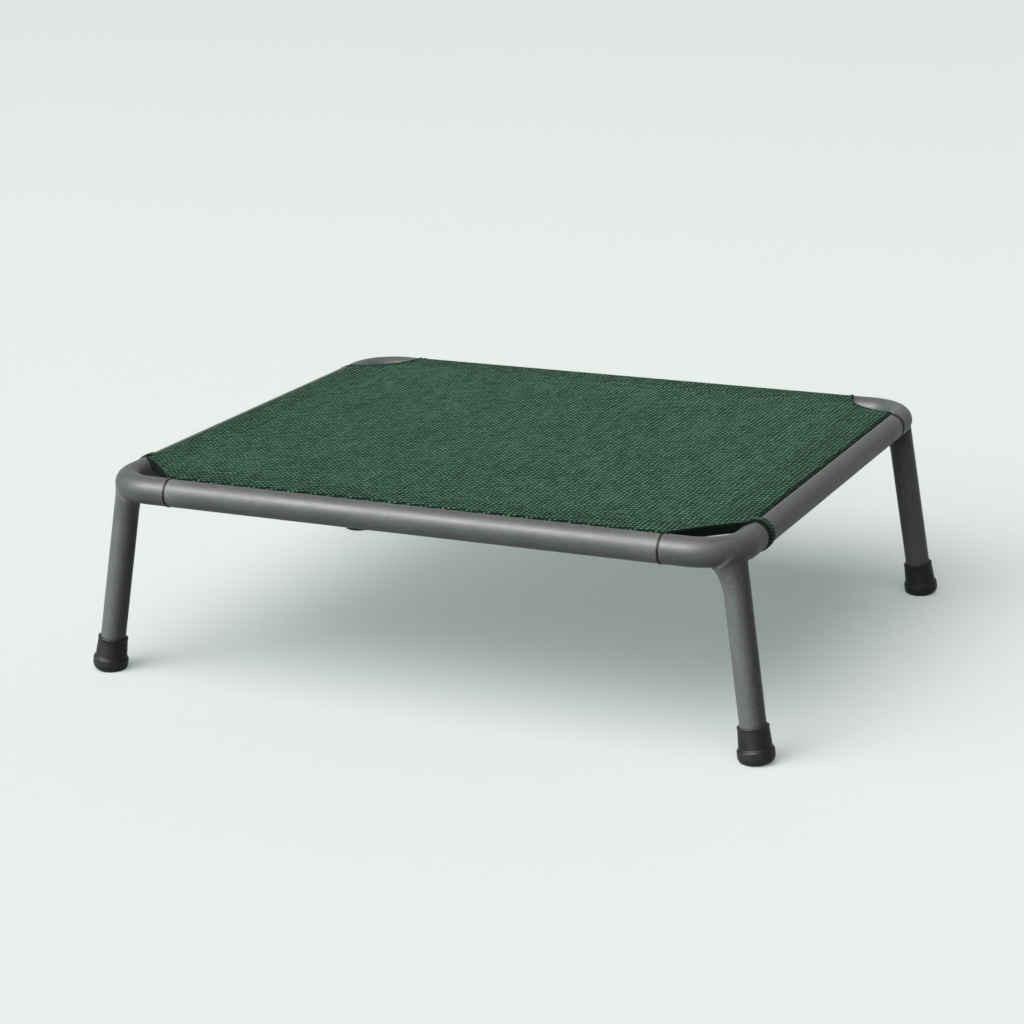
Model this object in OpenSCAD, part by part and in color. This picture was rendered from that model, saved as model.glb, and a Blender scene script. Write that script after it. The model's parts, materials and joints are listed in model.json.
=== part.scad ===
// Raised dog cot: a sling stretched in slotted rails, on bent corner tubes with splayed legs.
// Millimetres, +Z up, origin on the floor below the middle of the bed, +X along the bed.
// Corner pieces are drawn for the back right corner and mirrored to the other three.

/* [Bed] */
// Distance between the axes of the left and right rails
bed_length = 575; // [400:5:1000]
// Distance between the axes of the front and back rails
bed_width = 505; // [350:5:800]
// Height of the rail axes above the floor
bed_height = 175; // [120:5:320]

/* [Rails and elbows] */
// Outer diameter of the rail and elbow tube
rail_d = 25; // [24:0.5:32]
// Wall of the rail and elbow tube
rail_wall = 1.5; // [1:0.1:2]
// Centreline radius of a corner bend
bend_r = 37; // [32:1:44]
// Distance from the crossing of two rail axes to their joints
joint_reach = 58; // [54:1:80]
// Clearance of a sling edge in its slot, on each side
slot_clearance = 0.4; // [0.2:0.1:0.8]
// Angle of the slot above the bed's level, seen from the rail axis
slot_angle = 80; // [70:1:85]

/* [Joints] */
// Thickness of the ring between an elbow and a rail
ring_t = 1.2; // [0.8:0.1:3]
// How far a ring stands proud of the tube
ring_proud = 0.3; // [0.1:0.1:1]
// Wall of a spigot
spigot_wall = 1.6; // [1.2:0.1:2]
// Length of a spigot past its lock screw
spigot_tail = 14; // [8:1:30]
// Radial clearance of a spigot in its tubes
spigot_clearance = 0.1; // [0.05:0.05:0.3]
// Clearance between a spigot's opening and the hem that runs through it
spigot_opening_clearance = 0.4; // [0.2:0.1:0.8]
// Diameter of a lock screw's shank
screw_d = 4; // [3:0.5:5]
// Length of a lock screw's shank
screw_length = 8; // [6:0.5:10]
// Diameter of a lock screw's head
screw_head_d = 7.5; // [6.5:0.5:9]
// Height of a lock screw's head
screw_head_h = 2.6; // [2:0.2:4]
// Reach of the cross recess across a screw head
screw_recess_d = 4.4; // [3:0.2:4.6]
// Width of the arms of the cross recess
screw_recess_w = 1.1; // [0.8:0.1:1.5]
// Depth of the cross recess
screw_recess_h = 1.3; // [0.8:0.1:1.8]
// Inward slope of the side of a lock screw's head, on the radius
screw_head_slope = 1.3; // [0.5:0.1:1.4]
// Angle of a lock screw round its rail, from straight below towards the bed
screw_turn = 50; // [0:5:70]
// Radial clearance of a lock screw in its holes
screw_clearance = 0.1; // [0.05:0.05:0.3]
// Distance from a corner loop to the head of the lock screw beside it
screw_loop_gap = 1.5; // [0.5:0.5:5]

/* [Legs] */
// Outer diameter of a leg
leg_d = 22.5; // [18:0.5:23.5]
// Wall of a leg
leg_wall = 1.5; // [1:0.1:2.5]
// Where a leg meets the bend, as an angle round the bend from the side rail
leg_angle = 30; // [25:1:45]
// Outward lean of a leg along the bed, from rail axis to floor
leg_lean_x = 26; // [5:1:60]
// Outward lean of a leg across the bed, from rail axis to floor
leg_lean_y = 9; // [2:1:40]
// Where a weld fillet starts, down the leg from the rail axis
weld_drop = 28; // [24:1:40]
// Centreline radius of a weld fillet's curve
weld_r = 30; // [26:1:45]
// How far round its curve a weld fillet runs
weld_sweep = 58; // [50:1:70]
// Direction of a weld fillet, as an angle on from the leg's place on the bend
weld_turn = 104; // [92:1:110]
// How much thinner than the leg a weld fillet starts, on the radius
weld_inset = 0.6; // [0.4:0.1:1]

/* [Feet] */
// Height of a foot along the leg
foot_h = 31; // [26:1:50]
// Wall of a foot's sleeve at its mouth
foot_wall = 1.9; // [1.4:0.1:3]
// Extra radius of the sleeve at its base
foot_taper = 0.9; // [0.3:0.1:2]
// Diameter of a foot's flange
foot_flange_d = 31.5; // [31:0.5:40]
// Height of a foot's flange above the floor
foot_flange_h = 12; // [11:0.5:16]
// Rounding of a foot's lower edge
foot_edge_r = 7.5; // [4:0.5:7.5]
// Rounding of the flange's upper edge
foot_bead_r = 1.6; // [0.8:0.2:2.4]
// Radius of the rolled rim at a foot's mouth
foot_rim_r = 1.1; // [0.8:0.1:1.4]
// How far the rolled rim stands proud of the sleeve
foot_rim_proud = 0.35; // [0.1:0.05:0.6]
// Depth below floor level that a foot's round is carried to before it is cut flat
foot_under = 1.5; // [1.5:0.5:4]
// Rubber between the washer and the floor, along the leg
foot_base = 7; // [5:0.5:10]
// Radial clearance of a leg in its foot
foot_clearance = 0.05; // [0.02:0.01:0.2]
// Thickness of the washer under a leg
washer_t = 1.6; // [1:0.2:3]
// Diameter of the hole in a washer
washer_hole_d = 8; // [4:0.5:12]

/* [Sling] */
// Thickness of the sling's cloth
cloth_t = 1.2; // [0.8:0.1:1.6]
// Diameter of the spline rods in the sling's hems
spline_d = 5; // [4:0.5:6]
// Clearance of a spline in its hem, and of a hem in its rail
hem_clearance = 0.1; // [0.05:0.05:0.3]
// Distance from a rail's end to the start of the hem
hem_inset = 1; // [0.5:0.5:5]
// Clearance between the sling and the joint rings below it
sling_gap = 0.1; // [0.05:0.05:0.5]
// Distance from the crossing of two rail axes to the ends of a corner cut
cut_reach = 55; // [48:1:75]
// Depth of the curve of a front corner cut
front_cut_sag = 2; // [1:0.5:20]
// Depth of the curve of a back corner cut
back_cut_sag = 14; // [1:0.5:20]
// Height of the binding on a corner cut
binding_drop = 7; // [4:0.5:12]
// Thickness of the binding on a corner cut
binding_t = 1.2; // [0.8:0.1:2]
// Clearance between a binding and the cloth edge it covers
binding_gap = 0.1; // [0.05:0.05:0.3]
// Width of the loops that hold the front corners to the side rails
loop_w = 8.5; // [5:0.5:15]
// Clearance of a loop on its rail
loop_gap = 0.15; // [0.05:0.05:0.5]

/* [Hidden] */
$fn = 64;
// Facets of a full circle on the wide curves of the corner cuts
CUT_FN = 256;

// Small overrun that lets a cut pass cleanly through a face
overrun = 1;

frame_grey = "#5b5e60";
ring_black = "#1d1f20";
steel = "#a9adb0";
rubber_black = "#2b2c2c";
cloth_green = "#2f5a44";
binding_green = "#16301f";
spline_white = "#d8d8d2";

// Tubes
rail_r = rail_d / 2;
bore_r = rail_r - rail_wall;
ring_r = rail_r + ring_proud;
leg_r = leg_d / 2;
half_l = bed_length / 2;
half_w = bed_width / 2;
rail_start = joint_reach + ring_t / 2;
elbow_end = joint_reach - ring_t / 2;

// The four sides, as the turn about +Z that brings the front side to each
FRONT = 0;
RIGHT = 90;
BACK = 180;
LEFT = 270;
SIDES = [FRONT, RIGHT, BACK, LEFT];
function is_long(side) = side == FRONT || side == BACK;
function rail_offset(side) = is_long(side) ? half_w : half_l;
function rail_length(side) = (is_long(side) ? bed_length : bed_width) - 2 * rail_start;

// Hem, spline and sling, as radius along the slot's direction or height above the rail axis
hem_bore_r = spline_d / 2 + hem_clearance;
hem_r = hem_bore_r + cloth_t;
hem_centre = bore_r - hem_clearance - hem_r;
cloth_low = ring_r + sling_gap;
cloth_top = cloth_low + cloth_t;
cloth_inset = cloth_low / tan(slot_angle) - cloth_t / sin(slot_angle);
slot_w = 2 * (cloth_t + slot_clearance);
hem_start = max(rail_start, cut_reach) + hem_inset;
loop_start = hem_start - joint_reach;
function hem_length(side) = (is_long(side) ? bed_length : bed_width) - 2 * hem_start;

// Spigots and lock screws
spigot_r = bore_r - spigot_clearance;
spigot_in_elbow = elbow_end - bend_r;
screw_hole_d = screw_d + 2 * screw_clearance;
screw_place = loop_start + loop_w + screw_loop_gap + screw_head_d / 2;
spigot_end = screw_place + spigot_tail;

// Corner cuts of the sling, as arcs that bow in towards the middle of the bed
cut_chord = (cut_reach - cloth_inset) * sqrt(2);
cut_middle = (cut_reach + cloth_inset) / 2;
function cut_sag(y_side) = y_side < 0 ? front_cut_sag : back_cut_sag;
function cut_r(sag) = cut_chord * cut_chord / (8 * sag) + sag / 2;
function cut_centre(sag) = (cut_r(sag) - sag) / sqrt(2) - cut_middle;
function cut_half_angle(sag) = asin(cut_chord / 2 / cut_r(sag));
DIAGONAL_IN = 225;

// Legs, from the bend down and outwards to the floor
leg_top = [half_l - bend_r + bend_r * cos(leg_angle), half_w - bend_r + bend_r * sin(leg_angle), bed_height];
leg_lean = norm([leg_lean_x, leg_lean_y]);
leg_tilt = atan2(leg_lean, bed_height);
leg_turn = atan2(leg_lean_y, leg_lean_x);
leg_reach = norm([leg_lean, bed_height]);
washer_low = leg_reach - foot_base;
leg_end = washer_low - washer_t;
foot_bore_r = leg_r + foot_clearance;
foot_mouth_r = foot_bore_r + foot_wall;
foot_flange_r = foot_flange_d / 2;

// Places what is drawn for the back right corner at another corner
module at_corner(x_side, y_side) {
    mirror([x_side < 0 ? 1 : 0, 0, 0])
        mirror([0, y_side < 0 ? 1 : 0, 0])
            children();
}

// Frame of a rail: x along the rail's axis, y in towards the bed, z up from the axis
module on_rail(side) {
    rotate([0, 0, side])
        translate([0, -rail_offset(side), bed_height])
            children();
}

// Frame of a rail's end: the joint's plane at x = 0, the rail on the side of positive x
module on_joint(side, end) {
    on_rail(side)
        mirror([end > 0 ? 1 : 0, 0, 0])
            translate([joint_reach - (is_long(side) ? half_l : half_w), 0, 0])
                children();
}

// Frame of a leg: the rail axis at z = 0, z running down the leg
module on_leg() {
    translate(leg_top)
        rotate([0, 180 - leg_tilt, leg_turn])
            children();
}

// Round bar along x from one place to another
module bar_x(from, to, r) {
    translate([from, 0, 0])
        rotate([0, 90, 0])
            cylinder(h = to - from, r = r);
}

// Round bar along the back right corner's bend, with straight ends out to the given reach
module corner_bar(r, reach) {
    translate([half_l - bend_r, half_w - bend_r, bed_height])
        rotate_extrude(angle = 90)
            translate([bend_r, 0])
                circle(r);
    translate([half_l, half_w - reach, bed_height])
        rotate([-90, 0, 0])
            cylinder(h = reach - bend_r, r = r);
    translate([half_l - reach, half_w, bed_height])
        rotate([0, 90, 0])
            cylinder(h = reach - bend_r, r = r);
}

// Slotted tube that a sling edge slides into
module rail(side) {
    length = rail_length(side);
    color(frame_grey)
        on_rail(side)
            difference() {
                bar_x(-length / 2, length / 2, rail_r);
                bar_x(-length / 2 - overrun, length / 2 + overrun, bore_r);
                rotate([slot_angle, 0, 0])
                    translate([-length / 2 - overrun, hem_centre, -slot_w / 2])
                        cube([length + 2 * overrun, rail_r - hem_centre + overrun, slot_w]);
                for (end = [-1, 1])
                    rotate([screw_turn, 0, 0])
                        translate([end * (length / 2 + ring_t / 2 - screw_place), 0, -rail_r - overrun])
                            cylinder(h = rail_wall + 2 * overrun, d = screw_hole_d);
            }
}

// Bent corner tube
module elbow(x_side, y_side) {
    color(frame_grey)
        at_corner(x_side, y_side)
            difference() {
                corner_bar(rail_r, elbow_end);
                corner_bar(bore_r, elbow_end + overrun);
            }
}

// Leg tube, cut to sit on the underside of its elbow
module leg(x_side, y_side) {
    color(frame_grey)
        at_corner(x_side, y_side)
            difference() {
                on_leg()
                    difference() {
                        cylinder(h = leg_end, r = leg_r);
                        translate([0, 0, -overrun])
                            cylinder(h = leg_end + 2 * overrun, r = leg_r - leg_wall);
                    }
                corner_bar(rail_r, elbow_end);
            }
}

// Weld fillet that fills the inner angle between a leg and its elbow
module leg_weld(x_side, y_side) {
    color(frame_grey)
        at_corner(x_side, y_side)
            difference() {
                on_leg()
                    translate([0, 0, weld_drop])
                        rotate([0, 0, leg_turn + 180 - leg_angle - weld_turn])
                            translate([weld_r, 0, 0])
                                rotate([90, 180, 0])
                                    rotate_extrude(angle = weld_sweep)
                                        translate([weld_r, 0])
                                            circle(leg_r - weld_inset);
                on_leg()
                    cylinder(h = leg_end, r = leg_r);
                corner_bar(rail_r, elbow_end);
            }
}

// Half section of a foot: radius across, height above the floor up
module foot_section() {
    base_r = foot_mouth_r + foot_taper;
    edge = foot_flange_r - foot_edge_r;
    bead = foot_flange_r - foot_bead_r;
    translate([0, -foot_under])
        square([edge, foot_flange_h + foot_under]);
    translate([edge, foot_edge_r - foot_under])
        circle(foot_edge_r);
    translate([0, foot_edge_r - foot_under])
        square([foot_flange_r, foot_flange_h - foot_bead_r + foot_under - foot_edge_r]);
    translate([bead, foot_flange_h - foot_bead_r])
        circle(foot_bead_r);
    square([bead, foot_flange_h]);
    polygon([[0, 0], [base_r, 0], [base_r, foot_flange_h], [foot_mouth_r, foot_h], [0, foot_h]]);
    translate([foot_mouth_r + foot_rim_proud - foot_rim_r, foot_h - foot_rim_r])
        circle(foot_rim_r);
}

// Rubber foot pushed over a leg's end, flat on the floor
module foot(x_side, y_side) {
    color(rubber_black)
        at_corner(x_side, y_side)
            difference() {
                on_leg()
                    translate([0, 0, leg_reach])
                        rotate([180, 0, 0])
                            difference() {
                                rotate_extrude()
                                    foot_section();
                                translate([0, 0, foot_base])
                                    cylinder(h = foot_h, r = foot_bore_r);
                            }
                translate([leg_top[0] + leg_lean_x, leg_top[1] + leg_lean_y, -foot_flange_d / 2])
                    cube([2 * foot_flange_d, 2 * foot_flange_d, foot_flange_d], center = true);
            }
}

// Steel washer between a leg's end and its foot
module washer(x_side, y_side) {
    color(steel)
        at_corner(x_side, y_side)
            on_leg()
                translate([0, 0, leg_end])
                    difference() {
                        cylinder(h = washer_t, r = leg_r);
                        translate([0, 0, -overrun])
                            cylinder(h = washer_t + 2 * overrun, d = washer_hole_d);
                    }
}

// Sleeve inside a joint: pressed into the elbow, open in the rail to let the hem through
module spigot(side, end) {
    opening_w = 2 * (hem_r + spigot_opening_clearance);
    color(steel)
        on_joint(side, end)
            difference() {
                bar_x(-ring_t / 2 - spigot_in_elbow, spigot_end, spigot_r);
                bar_x(-elbow_end, spigot_end + overrun, spigot_r - spigot_wall);
                rotate([slot_angle, 0, 0])
                    translate([ring_t / 2, 0, -opening_w / 2])
                        cube([spigot_end, rail_r, opening_w]);
                rotate([screw_turn, 0, 0])
                    translate([screw_place, 0, -rail_r])
                        cylinder(h = rail_r, d = screw_hole_d);
            }
}

// Thin black ring between an elbow's end and a rail's end
module joint_ring(side, end) {
    color(ring_black)
        on_joint(side, end)
            difference() {
                bar_x(-ring_t / 2, ring_t / 2, ring_r);
                bar_x(-ring_t, ring_t, bore_r);
            }
}

// Pan head screw, up through a rail's inner underside into its spigot
module lock_screw() {
    rotate([screw_turn, 0, 0])
        translate([screw_place, 0, -rail_r]) {
            cylinder(h = screw_length, d = screw_d);
            difference() {
                translate([0, 0, -screw_head_h])
                    cylinder(h = screw_head_h, r1 = screw_head_d / 2 - screw_head_slope, r2 = screw_head_d / 2);
                for (turn = [0, 90])
                    rotate([0, 0, turn])
                        translate([0, 0, -screw_head_h])
                            cube([screw_recess_d, screw_recess_w, 2 * screw_recess_h], center = true);
            }
        }
}

// One screw at each end of each rail
module lock_screws() {
    color(steel)
        for (side = SIDES, end = [-1, 1])
            on_joint(side, end)
                lock_screw();
}

// Circle that a corner cut of the sling follows
module cut_circle(sag, r) {
    translate([half_l + cut_centre(sag), half_w + cut_centre(sag)])
        circle(r, $fn = CUT_FN);
}

// Section across a sling edge: a hem round its spline, and two layers up through the slot
module hem_section() {
    difference() {
        union() {
            translate([hem_centre, 0])
                circle(hem_r);
            translate([hem_centre, -cloth_t])
                square([(cloth_low + cloth_t / 2) / sin(slot_angle) - hem_centre, 2 * cloth_t]);
        }
        translate([hem_centre, 0])
            circle(hem_bore_r);
    }
}

// Cloth bed with cut corners and a hem along each side
module sling() {
    color(cloth_green) {
        translate([0, 0, bed_height + cloth_low])
            linear_extrude(cloth_t)
                difference() {
                    square([bed_length - 2 * cloth_inset, bed_width - 2 * cloth_inset], center = true);
                    for (x_side = [-1, 1], y_side = [-1, 1])
                        at_corner(x_side, y_side)
                            cut_circle(cut_sag(y_side), cut_r(cut_sag(y_side)));
                }
        for (side = SIDES)
            on_rail(side)
                translate([-hem_length(side) / 2, 0, 0])
                    rotate([slot_angle, 0, 0])
                        rotate([90, 0, 90])
                            linear_extrude(hem_length(side))
                                hem_section();
    }
}

// Rod that keeps a hem inside its rail
module spline(side) {
    color(spline_white)
        on_rail(side)
            rotate([slot_angle, 0, 0])
                translate([0, hem_centre, 0])
                    bar_x(-hem_length(side) / 2, hem_length(side) / 2, spline_d / 2);
}

// Tape down the edge of a corner cut, clear of the tubes below it
module binding(x_side, y_side) {
    sag = cut_sag(y_side);
    half_angle = cut_half_angle(sag);
    color(binding_green)
        at_corner(x_side, y_side)
            difference() {
                translate([half_l + cut_centre(sag), half_w + cut_centre(sag), bed_height + cloth_top])
                    rotate([0, 0, DIAGONAL_IN - half_angle])
                        rotate_extrude(angle = 2 * half_angle, $fn = CUT_FN)
                            translate([cut_r(sag) - binding_gap - binding_t, -binding_drop])
                                square([binding_t, binding_drop]);
                corner_bar(cloth_low, cut_reach + overrun);
            }
}

// Cloth loop from a front corner of the sling round its side rail
module loop(side) {
    front_end = side == RIGHT ? -1 : 1;
    loop_r = rail_r + loop_gap;
    color(cloth_green)
        on_joint(side, front_end)
            difference() {
                bar_x(loop_start, loop_start + loop_w, loop_r + cloth_t);
                bar_x(loop_start - overrun, loop_start + loop_w + overrun, loop_r);
                translate([loop_start - overrun, cloth_inset - loop_gap, cloth_low - loop_gap])
                    cube([loop_w + 2 * overrun, rail_d, rail_d]);
                rotate([slot_angle, 0, 0])
                    translate([loop_start - overrun, 0, -slot_w / 2])
                        cube([loop_w + 2 * overrun, rail_d, slot_w]);
            }
}

rail(FRONT);  // front_rail
rail(BACK);  // back_rail
rail(LEFT);  // left_rail
rail(RIGHT);  // right_rail
elbow(-1, -1);  // elbow_front_left
elbow(1, -1);  // elbow_front_right
elbow(-1, 1);  // elbow_back_left
elbow(1, 1);  // elbow_back_right
leg(-1, -1);  // leg_front_left
leg(1, -1);  // leg_front_right
leg(-1, 1);  // leg_back_left
leg(1, 1);  // leg_back_right
leg_weld(-1, -1);  // leg_weld_front_left
leg_weld(1, -1);  // leg_weld_front_right
leg_weld(-1, 1);  // leg_weld_back_left
leg_weld(1, 1);  // leg_weld_back_right
foot(-1, -1);  // foot_front_left
foot(1, -1);  // foot_front_right
foot(-1, 1);  // foot_back_left
foot(1, 1);  // foot_back_right
washer(-1, -1);  // washer_front_left
washer(1, -1);  // washer_front_right
washer(-1, 1);  // washer_back_left
washer(1, 1);  // washer_back_right
spigot(FRONT, -1);  // front_rail_left_spigot
spigot(FRONT, 1);  // front_rail_right_spigot
spigot(BACK, 1);  // back_rail_left_spigot
spigot(BACK, -1);  // back_rail_right_spigot
spigot(LEFT, 1);  // left_rail_front_spigot
spigot(LEFT, -1);  // left_rail_back_spigot
spigot(RIGHT, -1);  // right_rail_front_spigot
spigot(RIGHT, 1);  // right_rail_back_spigot
joint_ring(FRONT, -1);  // front_rail_left_ring
joint_ring(FRONT, 1);  // front_rail_right_ring
joint_ring(BACK, 1);  // back_rail_left_ring
joint_ring(BACK, -1);  // back_rail_right_ring
joint_ring(LEFT, 1);  // left_rail_front_ring
joint_ring(LEFT, -1);  // left_rail_back_ring
joint_ring(RIGHT, -1);  // right_rail_front_ring
joint_ring(RIGHT, 1);  // right_rail_back_ring
lock_screws();
sling();
spline(FRONT);  // spline_front
spline(BACK);  // spline_back
spline(LEFT);  // spline_left
spline(RIGHT);  // spline_right
binding(-1, -1);  // binding_front_left
binding(1, -1);  // binding_front_right
binding(-1, 1);  // binding_back_left
binding(1, 1);  // binding_back_right
loop(LEFT);  // loop_left
loop(RIGHT);  // loop_right
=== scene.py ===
# %% [markdown]
# # A raised dog cot
#
# A small bed that keeps a dog off the floor: a green woven sling stretched in a frame of grey tubes, with a
# bent tube and a splayed leg at each corner and rubber feet on the legs. The CAD model gives every piece its
# place and size. This file dresses it: it works out finer surfaces for the pieces that show, gives each of
# them a finish made of shader nodes, and sets up the light, the floor and the camera.
#
# The first cell loads the imported CAD model.

# %% Load the imported frame
import json
import math

import bmesh
import bpy
import numpy as np
from mathutils import Matrix, Vector


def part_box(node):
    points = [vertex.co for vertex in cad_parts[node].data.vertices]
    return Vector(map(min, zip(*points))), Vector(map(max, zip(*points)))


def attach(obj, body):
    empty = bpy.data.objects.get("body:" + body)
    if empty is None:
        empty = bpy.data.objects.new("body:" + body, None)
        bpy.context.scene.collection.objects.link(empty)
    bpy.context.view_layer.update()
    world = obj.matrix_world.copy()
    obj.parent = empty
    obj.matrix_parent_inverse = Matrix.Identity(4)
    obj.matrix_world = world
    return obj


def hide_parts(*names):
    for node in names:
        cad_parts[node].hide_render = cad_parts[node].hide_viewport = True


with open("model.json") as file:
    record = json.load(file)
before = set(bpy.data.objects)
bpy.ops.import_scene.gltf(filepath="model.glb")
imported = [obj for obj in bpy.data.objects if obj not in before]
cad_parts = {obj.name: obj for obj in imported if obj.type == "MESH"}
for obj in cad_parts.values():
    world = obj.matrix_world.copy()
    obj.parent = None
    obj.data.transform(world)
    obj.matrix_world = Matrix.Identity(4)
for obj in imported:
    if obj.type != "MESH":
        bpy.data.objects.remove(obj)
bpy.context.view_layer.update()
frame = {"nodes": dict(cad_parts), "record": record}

# %% [markdown]
# ## Sizes
#
# The new surfaces have to fit the CAD solids, so the main sizes are read from the solids' boxes and not
# typed again. A rail's box gives its axis, its radius and how far from the bed's corner it ends. Here a
# corner is the point where the axes of two rails would cross.

# %% Sizes read from the frame
MM = 0.001


def middle_and_half(node):
    """The middle of a CAD node's box, and half of each of its sides."""
    low, high = (np.array(corner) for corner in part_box(node))
    return (low + high) / 2, (high - low) / 2


front_middle, front_half = middle_and_half("front_rail")
right_middle = middle_and_half("right_rail")[0]
ring_middle, ring_half = middle_and_half("front_rail_right_ring")
BED_Z = front_middle[2]
HALF_W = -front_middle[1]
HALF_L = right_middle[0]
RAIL_R = front_half[2]
RAIL_END = HALF_L - front_half[0]
ELBOW_END = HALF_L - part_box("elbow_back_right")[0].x
JOINT = HALF_L - ring_middle[0]
RING_R = ring_half[2]
RING_T = 2 * ring_half[0]
print(f"rail axes {2 * HALF_L:.3f} by {2 * HALF_W:.3f}, {BED_Z:.3f} up, tube radius {RAIL_R:.4f}")
print(f"from a corner, a rail ends at {RAIL_END:.4f} and an elbow at {ELBOW_END:.4f}")

# %% [markdown]
# ## Camera
#
# The camera was fitted to the outlines of the rails, legs and feet in the photograph, which gave its place,
# its three angles and its focal length in pixels of a 1024 pixel frame. Blender wants the focal length in
# millimetres of a sensor, so the pixels are turned into a share of the sensor's width. A camera looks along
# its own minus Z, so the third axis points back, away from the cot.

# %% Camera
CAMERA_AT = (0.9663, -2.1662, 0.7952)
CAMERA_ANGLES = (24.422, 16.021, -0.845)
FOCAL_SHARE = 2662.9 / 1024

yaw, pitch, roll = (math.radians(angle) for angle in CAMERA_ANGLES)
back = Vector((math.sin(yaw) * math.cos(pitch), -math.cos(yaw) * math.cos(pitch), math.sin(pitch)))
level = Vector((math.cos(yaw), math.sin(yaw), 0.0))
upright = back.cross(level)
right = level * math.cos(roll) + upright * math.sin(roll)
up = upright * math.cos(roll) - level * math.sin(roll)

camera = bpy.data.objects.new("photo_camera", bpy.data.cameras.new("photo_camera"))
camera.data.sensor_width = 36.0
camera.data.lens = FOCAL_SHARE * camera.data.sensor_width
camera.matrix_world = Matrix.Translation(CAMERA_AT) @ Matrix((right, up, back)).transposed().to_4x4()
bpy.context.scene.collection.objects.link(camera)
bpy.context.scene.camera = camera
print(f"camera lens {camera.data.lens:.2f} mm")

# %% [markdown]
# ## From grids of points to pieces
#
# Every new piece is a surface over a grid: rows one way, columns the other. numpy works out all the points
# at once, and the faces only need the points' numbers. Small helpers number the faces, and count the open
# edges of a mesh: a closed shell has none. The last one puts points and faces into a mesh, merges the points
# that meet at seams and poles, turns the faces outwards, and attaches the piece to the cot: it rides on the
# cot, takes a material slot, and may stand for CAD nodes.

# %% Grid and mesh helpers
MERGE = 0.002 * MM


def smooth(share):
    """A share from 0 to 1 that starts and stops gently: s²(3 - 2s)."""
    return share * share * (3 - 2 * share)


def full_turn(steps):
    """Angles once round, evenly spaced, without the last one, which would be the first again."""
    return np.linspace(0, 2 * np.pi, steps, endpoint=False)


def unit(vectors):
    """The same directions, with length 1."""
    return vectors / np.linalg.norm(vectors, axis=-1, keepdims=True)


def grid_quads(rows, columns, close_rows=False, close_columns=False):
    """Corner numbers of the faces of a grid of points that are numbered row by row. A closed way joins its
    last line of points to its first."""
    row = np.arange(rows if close_rows else rows - 1)[:, None]
    column = np.arange(columns if close_columns else columns - 1)[None, :]
    beside = (column + 1) % columns
    here = row * columns
    below = ((row + 1) % rows) * columns
    corners = [here + column, here + beside, below + beside, below + column]
    return np.stack(corners, -1).reshape(-1, 4)


def ring_grid(points, close_rows=False):
    """A grid whose rows of points are closed rings, with its faces."""
    return points, grid_quads(*points.shape[:2], close_rows=close_rows, close_columns=True)


def open_edges(mesh):
    """How many edges of a mesh have a face on one side only: none on a closed shell."""
    sides = np.zeros(len(mesh.loops), np.int32)
    mesh.loops.foreach_get("edge_index", sides)
    return int((np.bincount(sides, minlength=len(mesh.edges)) == 1).sum())


def make_piece(name, grids, finish, stands_for=(), marks=None, closed=True, sharp=50):
    """One piece from a list of (points, quads). marks are named values for each point, which materials read.
    A closed piece gets its faces turned outwards, and edges bent by more than the sharp angle stay crisp."""
    points = np.concatenate([grid.reshape(-1, 3) for grid, quads in grids])
    starts = np.cumsum([0] + [grid.size // 3 for grid, quads in grids])
    faces = np.concatenate([quads + start for (grid, quads), start in zip(grids, starts)])
    mesh = bpy.data.meshes.new(name)
    mesh.from_pydata(points.tolist(), [], faces.tolist())
    for mark, values in (marks or {}).items():
        kind, field = ("FLOAT", "value") if values.ndim == 1 else ("FLOAT_VECTOR", "vector")
        mesh.attributes.new(mark, kind, "POINT").data.foreach_set(field, values.astype(np.float32).ravel())
    shape = bmesh.new()
    shape.from_mesh(mesh)
    bmesh.ops.remove_doubles(shape, verts=shape.verts, dist=MERGE)
    if closed:
        bmesh.ops.recalc_face_normals(shape, faces=shape.faces)
    shape.to_mesh(mesh)
    shape.free()
    mesh.shade_smooth()
    mesh.set_sharp_from_angle(angle=math.radians(sharp))
    mesh.materials.append(finish)
    piece = bpy.data.objects.new(name, mesh)
    bpy.context.scene.collection.objects.link(piece)
    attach(piece, "root")
    if stands_for:
        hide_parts(*stands_for)
    print(name, len(mesh.polygons), "faces,", open_edges(mesh), "open edges")
    return piece


# %% [markdown]
# ## Writing a finish
#
# A finish is a node material. Most of them are the same few nodes in a different order, so one small class
# adds a node to a tree per call, and a second one keeps a material and its Principled shader with its tree.
# What is the same all over a surface is set on the shader's own sockets. Only what varies comes through
# nodes.

# %% The node helpers


class Nodes:
    """A node tree under way."""

    def __init__(self, tree):
        self.tree = tree

    def node(self, kind, inputs, **options):
        """Adds a node. Each input, by its name or number, is a constant or another node's output."""
        made = self.tree.nodes.new("ShaderNode" + kind)
        for option, value in options.items():
            setattr(made, option, value)
        for socket, value in inputs.items():
            if isinstance(value, bpy.types.NodeSocket):
                self.tree.links.new(value, made.inputs[socket])
            else:
                made.inputs[socket].default_value = value
        return made

    def math(self, operation, *terms):
        """One sum over numbers and outputs."""
        return self.node("Math", dict(enumerate(terms)), operation=operation).outputs[0]

    def total(self, *parts):
        """The sum of values times their weights, from (value, weight) pairs."""
        level = 0.0
        for value, weight in parts:
            level = self.math("MULTIPLY_ADD", value, weight, level)
        return level


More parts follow.
